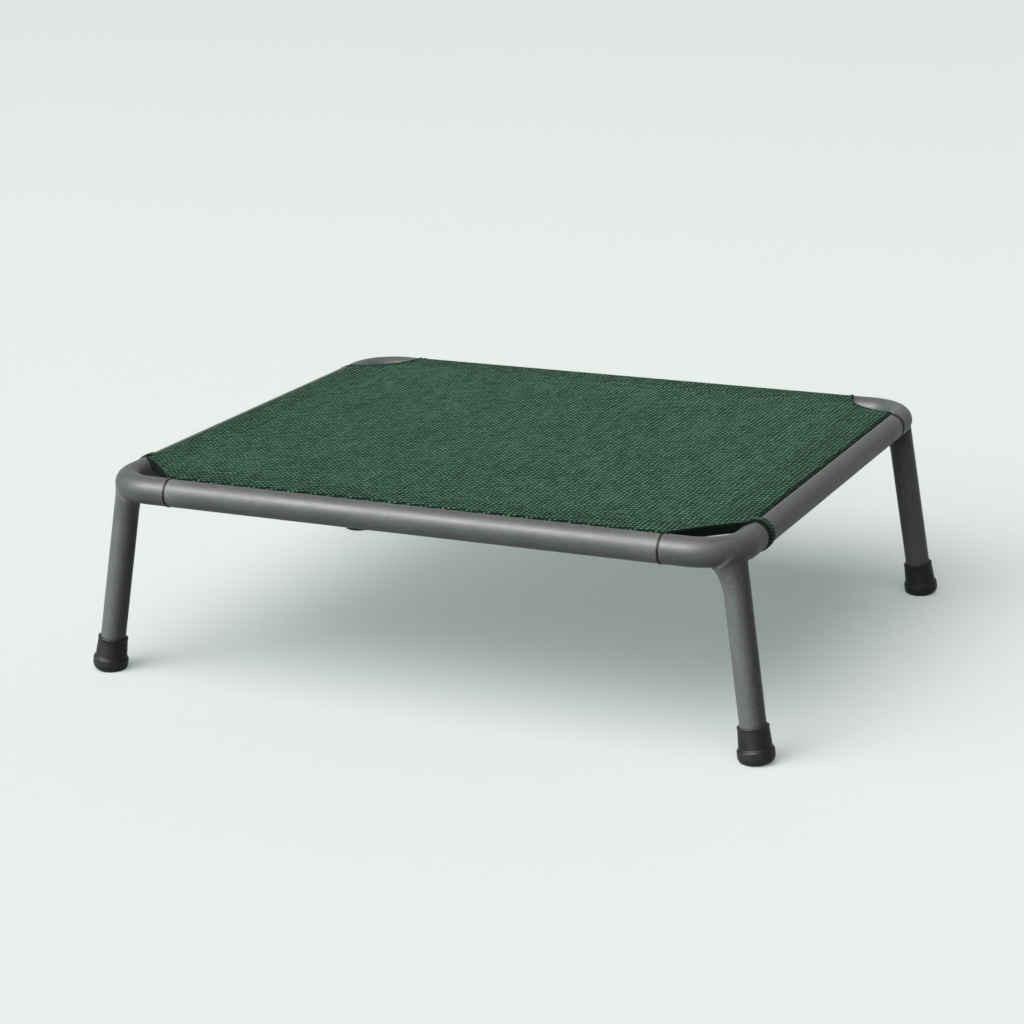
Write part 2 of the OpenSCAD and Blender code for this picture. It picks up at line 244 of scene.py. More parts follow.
class Finish(Nodes):
    """A node material under way."""

    def __init__(self, name, **constants):
        """constants are shader sockets, with an underscore for each space in their names."""
        self.material = bpy.data.materials.new(name)
        self.material.use_nodes = True
        super().__init__(self.material.node_tree)
        self.shader = self.tree.nodes["Principled BSDF"]
        for socket, value in constants.items():
            self.shader.inputs[socket.replace("_", " ").title().replace("Ior", "IOR")].default_value = value

    def place(self):
        """The point's place in the cot, in metres."""
        return self.node("TexCoord", {}).outputs["Object"]

    def mark(self, name, output):
        """A value that the piece's own mesh carries."""
        return self.node("Attribute", {}, attribute_name=name).outputs[output]

    def wave(self, phase):
        """A smooth wave from 0 to 1: half of 1 plus the cosine of the phase."""
        return self.math("MULTIPLY_ADD", self.math("COSINE", phase), 0.5, 0.5)

    def noise(self, place, per_metre, detail=2.0, roughness=0.5, output=0):
        """Soft random spots, about per_metre of them in a metre."""
        inputs = {"Vector": place, "Scale": per_metre, "Detail": detail, "Roughness": roughness}
        return self.node("TexNoise", inputs).outputs[output]

    def spread(self, value, low, high, to_low, to_high):
        """The value carried from one range to another, smoothly and clamped."""
        inputs = {"Value": value, 1: low, 2: high, 3: to_low, 4: to_high}
        return self.node("MapRange", inputs, interpolation_type="SMOOTHSTEP").outputs[0]

    def ramp(self, value, stops):
        """A colour for each value, mixed between (place, colour) stops."""
        made = self.node("ValToRGB", {"Fac": value})
        made.color_ramp.elements[0].position = stops[0][0]
        made.color_ramp.elements[0].color = (*stops[0][1], 1.0)
        made.color_ramp.elements[1].position = stops[-1][0]
        made.color_ramp.elements[1].color = (*stops[-1][1], 1.0)
        for position, colour in stops[1:-1]:
            made.color_ramp.elements.new(position).color = (*colour, 1.0)
        return made.outputs["Color"]

    def surface(self, colour, roughness, height, depth, strength=1.0):
        """Wires the colour, the roughness and the relief, whose height of 1 stands for depth metres."""
        inputs = {"Height": height, "Distance": depth, "Strength": strength}
        relief = self.node("Bump", inputs).outputs["Normal"]
        for socket, value in (("Base Color", colour), ("Roughness", roughness), ("Normal", relief)):
            self.tree.links.new(value, self.shader.inputs[socket])
        return self.material


def grained(name, grain_options, colours, roughness, depth, strength=0.5, **constants):
    """A finish with one grain, which mixes two colours and two roughnesses and roughens the surface a little.
    The grain's options are those of noise."""
    finish = Finish(name, **constants)
    grain = finish.noise(finish.place(), *grain_options)
    colour = finish.ramp(grain, [(0.3, colours[0]), (0.7, colours[1])])
    return finish.surface(colour, finish.spread(grain, 0.3, 0.7, *roughness), grain, depth, strength)


# %% [markdown]
# ## Powder coat
#
# The frame is sprayed with grey powder and baked. That leaves a satin skin with a fine grain, a soft
# unevenness like orange peel, and tiny light flecks. Each tube's mesh carries a value that paints the coat a
# little lighter: at the slot lips the coat is worn, as it pulls back from sharp edges, and at the tube ends
# and weld toes it is a painted highlight. All patterns read the place in metres, so the grain has the same
# size on every tube.

# %% Powder coat
coat = Finish("grey_powder_coat", specular_ior_level=0.20)
coat_place = coat.place()
coat_grain = coat.noise(coat_place, 1300, 3.0, 0.6)
coat_peel = coat.noise(coat_place, 430, 2.0, 0.6)
coat_patch = coat.noise(coat_place, 24, 4.0, 0.6)
# This value paints the coat lighter: a painted highlight at tube ends and weld toes, worn coat at slot lips.
coat_wear_and_highlight = coat.mark("wear_and_highlight", "Fac")
coat_tone = coat.total((coat_patch, 0.23), (coat_grain, 0.47), (coat_peel, 0.30), (coat_wear_and_highlight, 0.22))
coat_colour = coat.ramp(coat_tone, [
    (0.30, (0.026, 0.027, 0.028)),
    (0.52, (0.046, 0.047, 0.048)),
    (0.66, (0.067, 0.068, 0.069)),
    (0.85, (0.150, 0.151, 0.152))])
coat_rough = coat.spread(coat.math("ADD", coat_grain, coat_patch), 0.7, 1.3, 0.42, 0.52)
coat_height = coat.total((coat_peel, 0.55), (coat_grain, 0.45))
coat_material = coat.surface(coat_colour, coat_rough, coat_height, 0.24 * MM, 0.8)
print("finish", coat_material.name, len(coat.tree.nodes), "nodes")

# %% [markdown]
# ## Slotted rails
#
# Each rail is a straight tube with a slot along its inner top side. The sling's hem sits inside the tube and
# the cloth comes out through the slot. A plain cylinder would lose the slot, so the rail's wall is drawn as
# one closed outline, the outer arc, a round lip, the inner arc and the other lip, and carried along the
# rail. Towards each end the wall thins to nothing as a quarter circle, which rounds the end and closes it.
# One function places a point by its distance along a rail, in from its axis and up from its axis. The other
# three sides are the front one turned by quarter turns.

# %% Rails
SIDES = {
    "front": (0, HALF_W, HALF_L),
    "right": (1, HALF_L, HALF_W),
    "back": (2, HALF_W, HALF_L),
    "left": (3, HALF_L, HALF_W)}
QUARTER_TURNS = ((1, 0), (0, 1), (-1, 0), (0, -1))
WALL = 1.5 * MM
LIP_R = WALL / 2
MID_R = RAIL_R - LIP_R
SLOT_W = 3.2 * MM
SLOT_ANGLE = math.radians(80)
LIP_TURN = math.asin((SLOT_W / 2 + LIP_R) / MID_R)
# How far from a tube's end the coat is painted lighter, as a painted highlight on the rounded end. The two
# lip values give the worn coat beside the slot.
END_HIGHLIGHT = 1.2 * MM
LIP_WEAR = 0.6 * MM
LIP_WEAR_SHARE = 0.25


def on_side(side, along, inward, rise):
    """Points from distances along a rail, in from its axis and up from its axis."""
    turn, offset, half = SIDES[side]
    cosine, sine = QUARTER_TURNS[turn]
    across = inward - offset
    x = cosine * along - sine * across
    y = sine * along + cosine * across
    return np.stack(np.broadcast_arrays(x, y, BED_Z + rise), -1)


def rounded_ends(half_length, radius, end_steps=6, middle_steps=16):
    """Stations along a bar with rounded ends, and the share of its wall at each: sin t at radius (1 - cos t)
    from an end, and 1 between the ends."""
    t = np.linspace(0, np.pi / 2, end_steps)
    near = radius * (1 - np.cos(t)) - half_length
    between = np.linspace(near[-1], -near[-1], middle_steps)[1:-1]
    share = np.concatenate([np.sin(t), np.ones(middle_steps - 2), np.sin(t)[::-1]])
    return np.concatenate([near, between, -near[::-1]]), share


def slotted_outline(arc_steps=96, lip_steps=5):
    """The wall's outline in three arrays: the angle round the tube, the share of the half wall outwards (1 on
    the outer face, -1 on the inner one), and the share onwards round the tube, which rounds the lips."""
    arc = np.linspace(SLOT_ANGLE + LIP_TURN, SLOT_ANGLE - LIP_TURN + 2 * np.pi, arc_steps)
    cap = np.linspace(0, np.pi, lip_steps + 2)[1:-1]
    angle = np.concatenate([arc, np.full(lip_steps, arc[-1]), arc[::-1], np.full(lip_steps, arc[0])])
    outward = np.concatenate([np.ones(arc_steps), np.cos(cap), -np.ones(arc_steps), -np.cos(cap)])
    onward = np.concatenate([np.zeros(arc_steps), np.sin(cap), np.zeros(arc_steps), -np.sin(cap)])
    return angle, outward, onward


def rail_tube(side):
    """The outline carried along the rail: radius = middle + half wall times outward, turned to the angle."""
    half_length = SIDES[side][2] - RAIL_END
    along, share = rounded_ends(half_length, LIP_R)
    angle, outward, onward = slotted_outline()
    half_wall = LIP_R * share[:, None]
    radius = MID_R + outward * half_wall
    slide = onward * half_wall
    inward = radius * np.cos(angle) - slide * np.sin(angle)
    rise = radius * np.sin(angle) + slide * np.cos(angle)
    points = on_side(side, along[:, None], inward, rise)
    # Painted highlight near the tube's ends, and worn coat beside the slot lips: both paint the coat lighter.
    from_end = half_length - np.abs(along)[:, None]
    from_lip = MID_R * (np.pi - LIP_TURN - np.abs(angle - SLOT_ANGLE - np.pi))
    wear_and_highlight = np.maximum(np.exp(-from_end / END_HIGHLIGHT), LIP_WEAR_SHARE * np.exp(-from_lip / LIP_WEAR))
    return points, np.broadcast_to(wear_and_highlight, points.shape[:2])


for side in SIDES:
    points, wear_and_highlight = rail_tube(side)
    make_piece(
        side + "_rail_tube", [ring_grid(points)], coat_material, [side + "_rail"],
        {"wear_and_highlight": wear_and_highlight.ravel()})

# %% [markdown]
# ## Bent corner tubes
#
# A corner is one tube bent through a quarter circle, with a short straight part at each end where the rail
# plugs in. Blender can bend a curve with a round bevel, but then the wall has no thickness and the ends stay
# open. So the wall is cut lengthwise: out along the outer face, round the lip, back along the inner face and
# round the other lip, and this outline is swept round the tube's axis, whose path bends. Only the back right
# corner is worked out. The others are mirrored, and their faces are turned outwards again.

# %% Corner tubes
CORNERS = {"front_left": (-1, -1), "front_right": (1, -1), "back_left": (-1, 1), "back_right": (1, 1)}
BEND_R = 37 * MM
BEND_AT = np.array([HALF_L - BEND_R, HALF_W - BEND_R])
STRAIGHT = ELBOW_END - BEND_R
BEND_LENGTH = BEND_R * np.pi / 2


def at_corner(corner, points):
    """Points of the back right corner, mirrored to another corner."""
    return points * np.array([*CORNERS[corner], 1])


def bend_path(place):
    """The tube's axis at a place along it, and the sideways direction there. The angle grows only within the
    bend, and before and after it the axis runs straight on."""
    angle = np.clip((place - STRAIGHT) / BEND_R, 0, np.pi / 2)
    straight_on = np.minimum(place - STRAIGHT, 0) + np.maximum(place - STRAIGHT - BEND_LENGTH, 0)
    side = np.stack([np.cos(angle), np.sin(angle)], -1)
    ahead = np.stack([-np.sin(angle), np.cos(angle)], -1)
    return BEND_AT + BEND_R * side + straight_on[..., None] * ahead, side


def wall_outline(length, steps=70, lip_steps=6):
    """The cut wall: the place along the tube, and the share of the half wall outwards."""
    run = np.linspace(LIP_R, length - LIP_R, steps)
    cap = np.linspace(0, np.pi, lip_steps + 2)[1:-1]
    lip = LIP_R * np.sin(cap)
    place = np.concatenate([run, length - LIP_R + lip, run[::-1], LIP_R - lip])
    outward = np.concatenate([np.ones(steps), np.cos(cap), -np.ones(steps), -np.cos(cap)])
    return place, outward


def corner_tube(round_steps=72):
    """The axis plus the radius times (cos t sideways + sin t upwards), for t once round the tube."""
    length = 2 * STRAIGHT + BEND_LENGTH
    place, outward = wall_outline(length)
    axis, side = bend_path(place)
    radius = (MID_R + outward * LIP_R)[:, None]
    t = full_turn(round_steps)
    flat = axis[:, None, :] + (radius * np.cos(t))[..., None] * side[:, None, :]
    points = np.concatenate([flat, (BED_Z + radius * np.sin(t))[..., None]], -1)
    # Painted highlight: the coat is painted lighter near the tube's ends.
    from_end = np.minimum(place, length - place)
    wear_and_highlight = np.exp(-from_end / END_HIGHLIGHT)[:, None]
    return points, np.broadcast_to(wear_and_highlight, points.shape[:2])


def at_each_corner(name, points, wear_and_highlight, finish, slot, stands_for, close_rows=False, sharp=50):
    """A piece at each corner, mirrored from the back right one. stands_for are the CAD names without their
    corner."""
    pieces = {}
    for corner in CORNERS:
        pieces[corner] = make_piece(
            f"{corner}_{name}", [ring_grid(at_corner(corner, points), close_rows)], finish,
            [f"{node}_{corner}" for node in stands_for], {"wear_and_highlight": wear_and_highlight.ravel()}, sharp=sharp)
    return pieces


at_each_corner("corner_tube", *corner_tube(), coat_material, "frame_coat", ["elbow"], close_rows=True)

# %% [markdown]
# ## Legs and their welds
#
# A leg is a straight tube welded under the bend. On the side of the long rail the weld metal spreads into a
# wide smooth flare, and on the other side leg and bend meet in a sharp notch. A boolean and a bevel could
# make the joint, but the bevel can't change its width smoothly. So the joint is worked out. First comes where
# each line down the leg leaves the bent tube: halving an interval again and again finds it.

# %% Leg axis and joint line
LEG_R = 11.25 * MM
LEG_ANGLE = math.radians(30)
LEG_TOP = np.array([*(BEND_AT + BEND_R * np.array([math.cos(LEG_ANGLE), math.sin(LEG_ANGLE)])), BED_Z])
floor_points = {mount["name"]: np.array(mount["pos_m"]) for mount in frame["record"]["mounts"]}
FOOT_AT = floor_points["floor_back_right"]
LEG_REACH = np.linalg.norm(FOOT_AT - LEG_TOP)
LEG_DOWN = (FOOT_AT - LEG_TOP) / LEG_REACH
LEG_STOP = 8.6 * MM
LEG_END = LEG_REACH - LEG_STOP
LEG_X = unit(np.cross([0, 1, 0], LEG_DOWN))
LEG_Y = np.cross(LEG_DOWN, LEG_X)
JOINT_SEARCH = 40 * MM
HALVINGS = 40


def nearest_axis(points):
    """The nearest point on the bent tube's axis: on the arc, or on the straight run before or after it."""
    away = points[..., :2] - BEND_AT
    on_arc = BEND_R * unit(away)
    before = np.stack([np.full_like(away[..., 0], BEND_R), away[..., 1]], -1)
    after = np.stack([away[..., 0], np.full_like(away[..., 0], BEND_R)], -1)
    flat = np.where(away[..., 1:] < 0, before, np.where(away[..., :1] < 0, after, on_arc)) + BEND_AT
    return np.concatenate([flat, np.full_like(flat[..., :1], BED_Z)], -1)


def on_bend(points, radius):
    """The points moved straight towards or away from the bent tube's axis, to that distance from it."""
    axis = nearest_axis(points)
    return axis + radius * unit(points - axis)


def leg_side(turn):
    """The direction straight out of the leg, at an angle round it."""
    return np.cos(turn)[..., None] * LEG_X + np.sin(turn)[..., None] * LEG_Y


def joint_line(turn):
    """Where each line down the leg leaves the bent tube: the interval from the leg's top down to the end of
    the search is halved until its ends agree."""
    line = LEG_TOP + LEG_R * leg_side(turn)
    inside = np.zeros_like(turn)
    outside = np.full_like(turn, JOINT_SEARCH)
    for step in range(HALVINGS):
        half = (inside + outside) / 2
        points = line + half[:, None] * LEG_DOWN
        within = np.linalg.norm(points - nearest_axis(points), axis=-1) < RAIL_R
        inside = np.where(within, half, inside)
        outside = np.where(within, outside, half)
    return line + outside[:, None] * LEG_DOWN


joint_depth = (joint_line(full_turn(16)) - LEG_TOP) @ LEG_DOWN / MM
print(f"the leg leaves the bend {joint_depth.min():.1f} to {joint_depth.max():.1f} mm down its axis")

# %% [markdown]
# Next comes how far the weld reaches along the bend and down the leg at each line, and a quadratic Bezier
# curve between these two toes. Its middle point is drawn towards the joint, so the weld is hollow and its
# toes keep a soft crease that catches the light. The reach swells smoothly from the notch to the flare.

# %% Legs with their welds
WELD_SIDE = math.radians(132)
WELD_ON_BEND = (1.6 * MM, 9.0 * MM)
WELD_ON_LEG = (1.6 * MM, 25.0 * MM)
WELD_SPREAD = 0.55
WELD_HOLLOW = 0.5
WELD_SINK = 0.12 * MM
PATCH_SINK = 0.6 * MM
TOE_RISE = 0.6 * MM
TOE_SHARE = 0.24
# How much lighter the coat is painted along the weld's upper toe: a painted highlight.
TOE_HIGHLIGHT = 0.7


def leg_tube(round_steps=112, weld_steps=26, cap_steps=6, shaft_steps=22):
    """Rows from the bend down: a patch inside the bend's wall, the weld's curve from toe to toe with a raised
    half sine along its upper toe, the shaft, its rounded end and a disc that closes it."""
    turn = full_turn(round_steps)
    out = leg_side(turn)
    joint = joint_line(turn)
    facing = np.arctan2(out[:, 1], out[:, 0]) - WELD_SIDE
    swell = smooth(np.clip((np.cos(facing) + WELD_SPREAD) / (2 * WELD_SPREAD), 0, 1))[:, None]
    on_bend_reach = WELD_ON_BEND[0] + (WELD_ON_BEND[1] - WELD_ON_BEND[0]) * swell
    on_leg_reach = WELD_ON_LEG[0] + (WELD_ON_LEG[1] - WELD_ON_LEG[0]) * swell
    normal = (joint - nearest_axis(joint)) / RAIL_R
    creep = unit(out - (out * normal).sum(-1, keepdims=True) * normal)
    upper = on_bend(joint + on_bend_reach * creep, RAIL_R - WELD_SINK)
    lower = joint + on_leg_reach * LEG_DOWN
    pull = WELD_HOLLOW * joint + (1 - WELD_HOLLOW) * (upper + lower) / 2
    b = np.linspace(0, 1, weld_steps)[:, None, None]
    weld = (1 - b) ** 2 * upper + 2 * b * (1 - b) * pull + b ** 2 * lower
    toe = np.sin(np.pi * np.clip(b / TOE_SHARE, 0, 1))
    weld = weld + TOE_RISE * swell ** 2 * toe * (weld - nearest_axis(weld)) / RAIL_R
    share = np.linspace(1, 0, cap_steps)[:, None, None]
    patch_r = RAIL_R - WELD_SINK - PATCH_SINK * (1 - share)
    patch = on_bend(upper.mean(0) + share * (upper - upper.mean(0)), patch_r)
    end = LEG_TOP + (LEG_END - LIP_R) * LEG_DOWN + LEG_R * out
    run = np.linspace(0, 1, shaft_steps)[1:, None, None]
    shaft = lower + run * (end - lower)
    t = np.linspace(0, np.pi / 2, 5)[1:, None, None]
    lip = end + LIP_R * np.sin(t) * LEG_DOWN - LIP_R * (1 - np.cos(t)) * out
    disc = LEG_TOP + LEG_END * LEG_DOWN + np.linspace(0.5, 0, 3)[:, None, None] * LEG_R * out
    points = np.concatenate([patch[:0:-1], weld, shaft, lip, disc])
    # Painted highlight: along the weld's upper toe the coat is painted lighter, on top of the raised toe.
    bead = np.concatenate([np.zeros(cap_steps - 1), toe[:, 0, 0]])
    bead = np.concatenate([bead, np.zeros(len(points) - len(bead))])
    return points, np.broadcast_to(TOE_HIGHLIGHT * bead[:, None], points.shape[:2])


legs = at_each_corner("leg_tube", *leg_tube(), coat_material, "frame_coat", ["leg", "leg_weld"], sharp=32)

# %% [markdown]
# ## Joint rings
#
# A black plastic ring sits in each joint between a rail and a corner: a core in the gap, and a thin band
# that stands a hair proud and covers the tube ends. The band is wider on the side rails, and widest at their
# back ends. Half its section is drawn, with rounded outer corners, mirrored and turned round the tube. A
# torus primitive would be too round. The finish is dull black plastic with a fine moulded grain.

# %% Joint rings
plastic_material = grained(
    "black_ring_plastic", (1700, 2.0), [(0.003, 0.0032, 0.0034), (0.008, 0.0083, 0.0086)], (0.42, 0.60),
    0.05 * MM, specular_ior_level=0.10)
RING_BORE = 11.0 * MM
RING_PROUD = 0.15 * MM
RING_CORNER = 0.3 * MM
CORE_EASE = 0.05 * MM
BAND_EASE = 0.03 * MM
HALF_BAND = {"front": 1.0 * MM, "right": 1.5 * MM, "back": 1.0 * MM, "left": 1.5 * MM}
WIDEST_HALF_BAND = 3.0 * MM
RING_ENDS = {
    "front": ("left", "right"),
    "right": ("front", "back"),
    "back": ("right", "left"),
    "left": ("back", "front")}


def ring_outline(half_band):
    """Distance from the joint's middle and radius: out from the bore along the core, out under the band,
    round its corner with a quarter circle, and the same mirrored on the way back."""
    core = RING_T / 2 - CORE_EASE
    under = RAIL_R + BAND_EASE
    t = np.linspace(0, np.pi / 2, 5)
    corner_middle = np.array([half_band, RING_R + RING_PROUD]) - RING_CORNER
    crown = corner_middle + RING_CORNER * np.stack([np.cos(t), np.sin(t)], -1)
    half = np.concatenate([[(core, RING_BORE), (core, under), (half_band, under)], crown])
    return np.concatenate([half, half[::-1] * np.array([-1, 1])])


def joint_ring(side, end, end_name, round_steps=72):
    """The outline turned round the rail's axis: radius times the cosine inwards and the sine upwards."""
    outline = ring_outline(WIDEST_HALF_BAND if end_name == "back" else HALF_BAND[side])
    t = full_turn(round_steps)
    radius = outline[:, 1:]
    along = end * (SIDES[side][2] - JOINT) + outline[:, :1]
    return on_side(side, along, radius * np.cos(t), radius * np.sin(t))


for side, ends in RING_ENDS.items():
    for end, end_name in zip((-1, 1), ends):
        ring = ring_grid(joint_ring(side, end, end_name), close_rows=True)
        joint_name = f"{side}_rail_{end_name}"
        make_piece(
            joint_name + "_joint_ring", [ring], plastic_material, [joint_name + "_ring"])

# %% [markdown]
# ## Rubber feet
#
# Each leg ends in a moulded rubber foot. The rubber is near black with a fine grain and a dull shine, and a
# little dusty where the foot is proud. The mesh carries that dust in the same value that the tubes carry.

# %% Foot rubber
rubber = Finish("foot_rubber", specular_ior_level=0.16)
rubber_place = rubber.place()
rubber_grain = rubber.noise(rubber_place, 1500, 3.0)
rubber_dust = rubber.noise(rubber_place, 90, 4.0, 0.65)
rubber_tone = rubber.math("MULTIPLY_ADD", rubber.mark("wear_and_highlight", "Fac"), 0.15, rubber_dust)
rubber_colour = rubber.ramp(rubber_tone, [
    (0.25, (0.0045, 0.0046, 0.0048)),
    (0.60, (0.0080, 0.0081, 0.0083)),
    (1.0, (0.0170, 0.0170, 0.0166))])
rubber_rough = rubber.spread(rubber.math("ADD", rubber_grain, rubber_dust), 0.7, 1.3, 0.40, 0.56)
rubber_material = rubber.surface(rubber_colour, rubber_rough, rubber_grain, 0.08 * MM, 0.5)
print("finish", rubber_material.name, len(rubber.tree.nodes), "nodes")

# %% [markdown]
# The foot is a sleeve with a rolled rim, and a wider base with a rounded bead and a rounded underside that
# the floor cuts flat, because the leg leans. A profile turned about the leg's axis gives all of it, like a
# Spin or Screw modifier would, and what falls below the floor is set down on it. The profile is a chain of
# arcs and straight lines, so each round edge has a radius that can be changed.

# %% Rubber feet
FOOT_H = 31 * MM
FOOT_BORE_R = 11.3 * MM
FOOT_MOUTH_R = 13.2 * MM
FOOT_SLEEVE_R = 14.1 * MM
FOOT_FLANGE_R = 15.75 * MM
FOOT_FLANGE_H = 12 * MM
FOOT_UNDER = 1.5 * MM
FOOT_EDGE_R = 7.5 * MM
FOOT_BEAD_R = 1.6 * MM
FOOT_RIM_R = 1.1 * MM
FOOT_RIM_AT = 12.45 * MM
FOOT_BASE = 7 * MM
FOOT_ROOT_R = 1.3 * MM
FOOT_ROOT_RISE = 1.25 * MM
FOOT_SLEEVE_FROM = 15 * MM
FOOT_SLEEVE_TO = 28.2 * MM
FOOT_SLEEVE_EASE = 0.05 * MM
FOOT_CHAMFER = (0.15 * MM, 0.5 * MM)
FOOT_BORE_HALFWAY = 20 * MM
FOOT_BASE_HALFWAY = 5 * MM


def arc_points(middle, radius, start, stop, steps):
    """Points on a circle from one angle to another, in degrees."""
    t = np.radians(np.linspace(start, stop, steps))
    return np.stack([middle[0] + radius * np.cos(t), middle[1] + radius * np.sin(t)], -1)


def foot_profile():
    """Distance from the leg's axis and height above the floor point, from the underside out, up and in."""
    flat_r = FOOT_FLANGE_R - FOOT_EDGE_R
    underside = np.linspace((0, -FOOT_UNDER), (flat_r, -FOOT_UNDER), 8)[:-1]
    edge = arc_points((flat_r, FOOT_EDGE_R - FOOT_UNDER), FOOT_EDGE_R, -90, 0, 14)
    bead = arc_points((FOOT_FLANGE_R - FOOT_BEAD_R, FOOT_FLANGE_H - FOOT_BEAD_R), FOOT_BEAD_R, 0, 82, 9)
    root_middle = (FOOT_SLEEVE_R + FOOT_ROOT_R, FOOT_FLANGE_H + FOOT_ROOT_RISE)
    root = arc_points(root_middle, FOOT_ROOT_R, 262, 184, 7)
    sleeve_low = (FOOT_SLEEVE_R - FOOT_SLEEVE_EASE, FOOT_SLEEVE_FROM)
    sleeve_high = (FOOT_MOUTH_R + FOOT_SLEEVE_EASE, FOOT_SLEEVE_TO)
    sleeve = np.linspace(sleeve_low, sleeve_high, 8)
    rim = arc_points((FOOT_RIM_AT, FOOT_H - FOOT_RIM_R), FOOT_RIM_R, -38, 112, 12)
    wide, deep = FOOT_CHAMFER
    mouth = np.array([(FOOT_BORE_R + wide, FOOT_H - deep), (FOOT_BORE_R, FOOT_H - 2 * deep)])
    bore = np.array([(FOOT_BORE_R, FOOT_BORE_HALFWAY), (FOOT_BORE_R, FOOT_BASE)])
    floor = np.array([(FOOT_BASE_HALFWAY, FOOT_BASE), (0, FOOT_BASE)])
    return np.concatenate([underside, edge, bead, root, sleeve, rim, mouth, bore, floor])


def rubber_foot(round_steps=96):
    """The profile turned about the leg's axis: height against the leg's downward direction, radius out of
    it. Heights below the floor become 0."""
    profile = foot_profile()
    turn = full_turn(round_steps)
    points = FOOT_AT - profile[:, None, 1:] * LEG_DOWN + profile[:, None, :1] * leg_side(turn)
    points[..., 2] = np.maximum(points[..., 2], 0)
    reach = np.maximum(profile[:, 0] - FOOT_SLEEVE_R, 0) / (FOOT_FLANGE_R - FOOT_SLEEVE_R)
    return points, np.broadcast_to(reach[:, None], points.shape[:2])


at_each_corner("rubber_foot", *rubber_foot(), rubber_material, "rubber", ["foot"], sharp=60)

# %% [markdown]
# ## Twill cloth
#
# The sling is a coarse coated twill. Seen close, light ribs run across the bed's width about 4 mm apart, and
# each rib is broken into short floats that step on by a fixed share from rib to rib, so that they line up on
# the diagonal. An image texture could show that, but cosine waves do it at any distance: one for the ribs,
# one for the floats and two finer ones for the single yarns. The colour follows the weave's height: it is
# lighter on the raised floats and darker in the low gaps between them, which is painted shade. A white noise
# gives each float a brightness of its own, a stretched noise makes uneven yarns, and a slow one shifts the
# weave, as real yarns wander. All of them read a flat cloth coordinate that the mesh carries, so the weave
# follows the cloth into the slots. The coordinate's third number is 1 on the hem. An edge mark paints shade
# on the cloth where it turns into a slot, and on the loops it makes the front edge darker.

# %% Twill cloth
RIB = 4.2 * MM
TWILL_X = 0.184 / MM
TWILL_Y = 0.18 / MM
YARN = RIB / 3
WANDER = (5.5 * MM, 5.5 * MM, 0.0)
STREAKS = (240.0, 9.0, 0.0)
TURN = 2 * math.pi

cloth = Finish(
    "green_sling_twill", specular_ior_level=0.025, sheen_weight=0.01, sheen_roughness=0.5,
    sheen_tint=(0.55, 0.75, 0.65, 1.0))
cloth_flat = cloth.mark("weave", "Vector")
cloth_wander = cloth.noise(cloth_flat, 42, 2.0, output="Color")
cloth_drift = cloth.node("VectorMath", {0: cloth_wander, 1: (-0.5, -0.5, -0.5)}, operation="ADD").outputs[0]
cloth_drift = cloth.node(
    "VectorMath", {0: cloth_drift, 1: WANDER, 2: cloth_flat}, operation="MULTIPLY_ADD").outputs[0]
cloth_xyz = cloth.node("SeparateXYZ", {0: cloth_drift}).outputs
cloth_rib = cloth.wave(cloth.math("MULTIPLY", cloth_xyz[0], TURN / RIB))
cloth_rib_at = cloth.math("ROUND", cloth.math("MULTIPLY", cloth_xyz[0], 1 / RIB))
cloth_step = cloth.math("MULTIPLY", cloth_rib_at, RIB * TWILL_X)
cloth_step = cloth.math("MULTIPLY_ADD", cloth_xyz[1], TWILL_Y, cloth_step)
cloth_float = cloth.wave(cloth.math("MULTIPLY", cloth_step, TURN))
cloth_cell = cloth.node("CombineXYZ", {0: cloth_rib_at, 1: cloth.math("ROUND", cloth_step)}).outputs[0]
cloth_lot = cloth.node("TexWhiteNoise", {"Vector": cloth_cell}, noise_dimensions="2D").outputs["Value"]
cloth_yarn = cloth.wave(cloth.math("MULTIPLY", cloth_xyz[0], TURN / YARN))
cloth_weft = cloth.wave(cloth.math("MULTIPLY", cloth_xyz[1], TURN / YARN))
cloth_height = cloth.math("MULTIPLY_ADD", cloth_float, 0.92, 0.08)
cloth_height = cloth.math("MULTIPLY", cloth.spread(cloth_rib, 0.0, 0.75, 0.12, 1.0), cloth_height)
cloth_streaks = cloth.node("VectorMath", {0: cloth_flat, 1: STREAKS}, operation="MULTIPLY").outputs[0]
cloth_thread = cloth.noise(cloth_streaks, 1.0, 1.0)
cloth_patch = cloth.noise(cloth_flat, 14, 3.0)
# Painted shade where the sling goes into a slot; on the loops the same mark darkens the front edge.
cloth_slot_shade_and_dark_edge = cloth.mark("edge", "Fac")
# Painted shade: the weave's height makes the colour lighter on the raised floats and darker in the gaps.
cloth_tone = cloth.total(
    (cloth_height, 0.41), (cloth_lot, 0.14), (cloth_yarn, 0.04), (cloth_weft, 0.03), (cloth_thread, 0.15),
    (cloth_patch, 0.06), (cloth_xyz[2], -0.04), (cloth_slot_shade_and_dark_edge, -0.14))
cloth_colour = cloth.ramp(cloth_tone, [
    (0.185, (0.0004, 0.0047, 0.0020)),
    (0.365, (0.0117, 0.0398, 0.0224)),
    (0.585, (0.0385, 0.0865, 0.0596)),
    (0.845, (0.0750, 0.1250, 0.0945))])
cloth_rough = cloth.spread(cloth_height, 0.0, 1.0, 0.72, 0.50)
cloth_relief = cloth.math("MULTIPLY_ADD", cloth_yarn, 0.12, cloth_height)
cloth_material = cloth.surface(cloth_colour, cloth_rough, cloth_relief, 0.45 * MM, 0.6)
print("finish", cloth_material.name, len(cloth.tree.nodes), "nodes")

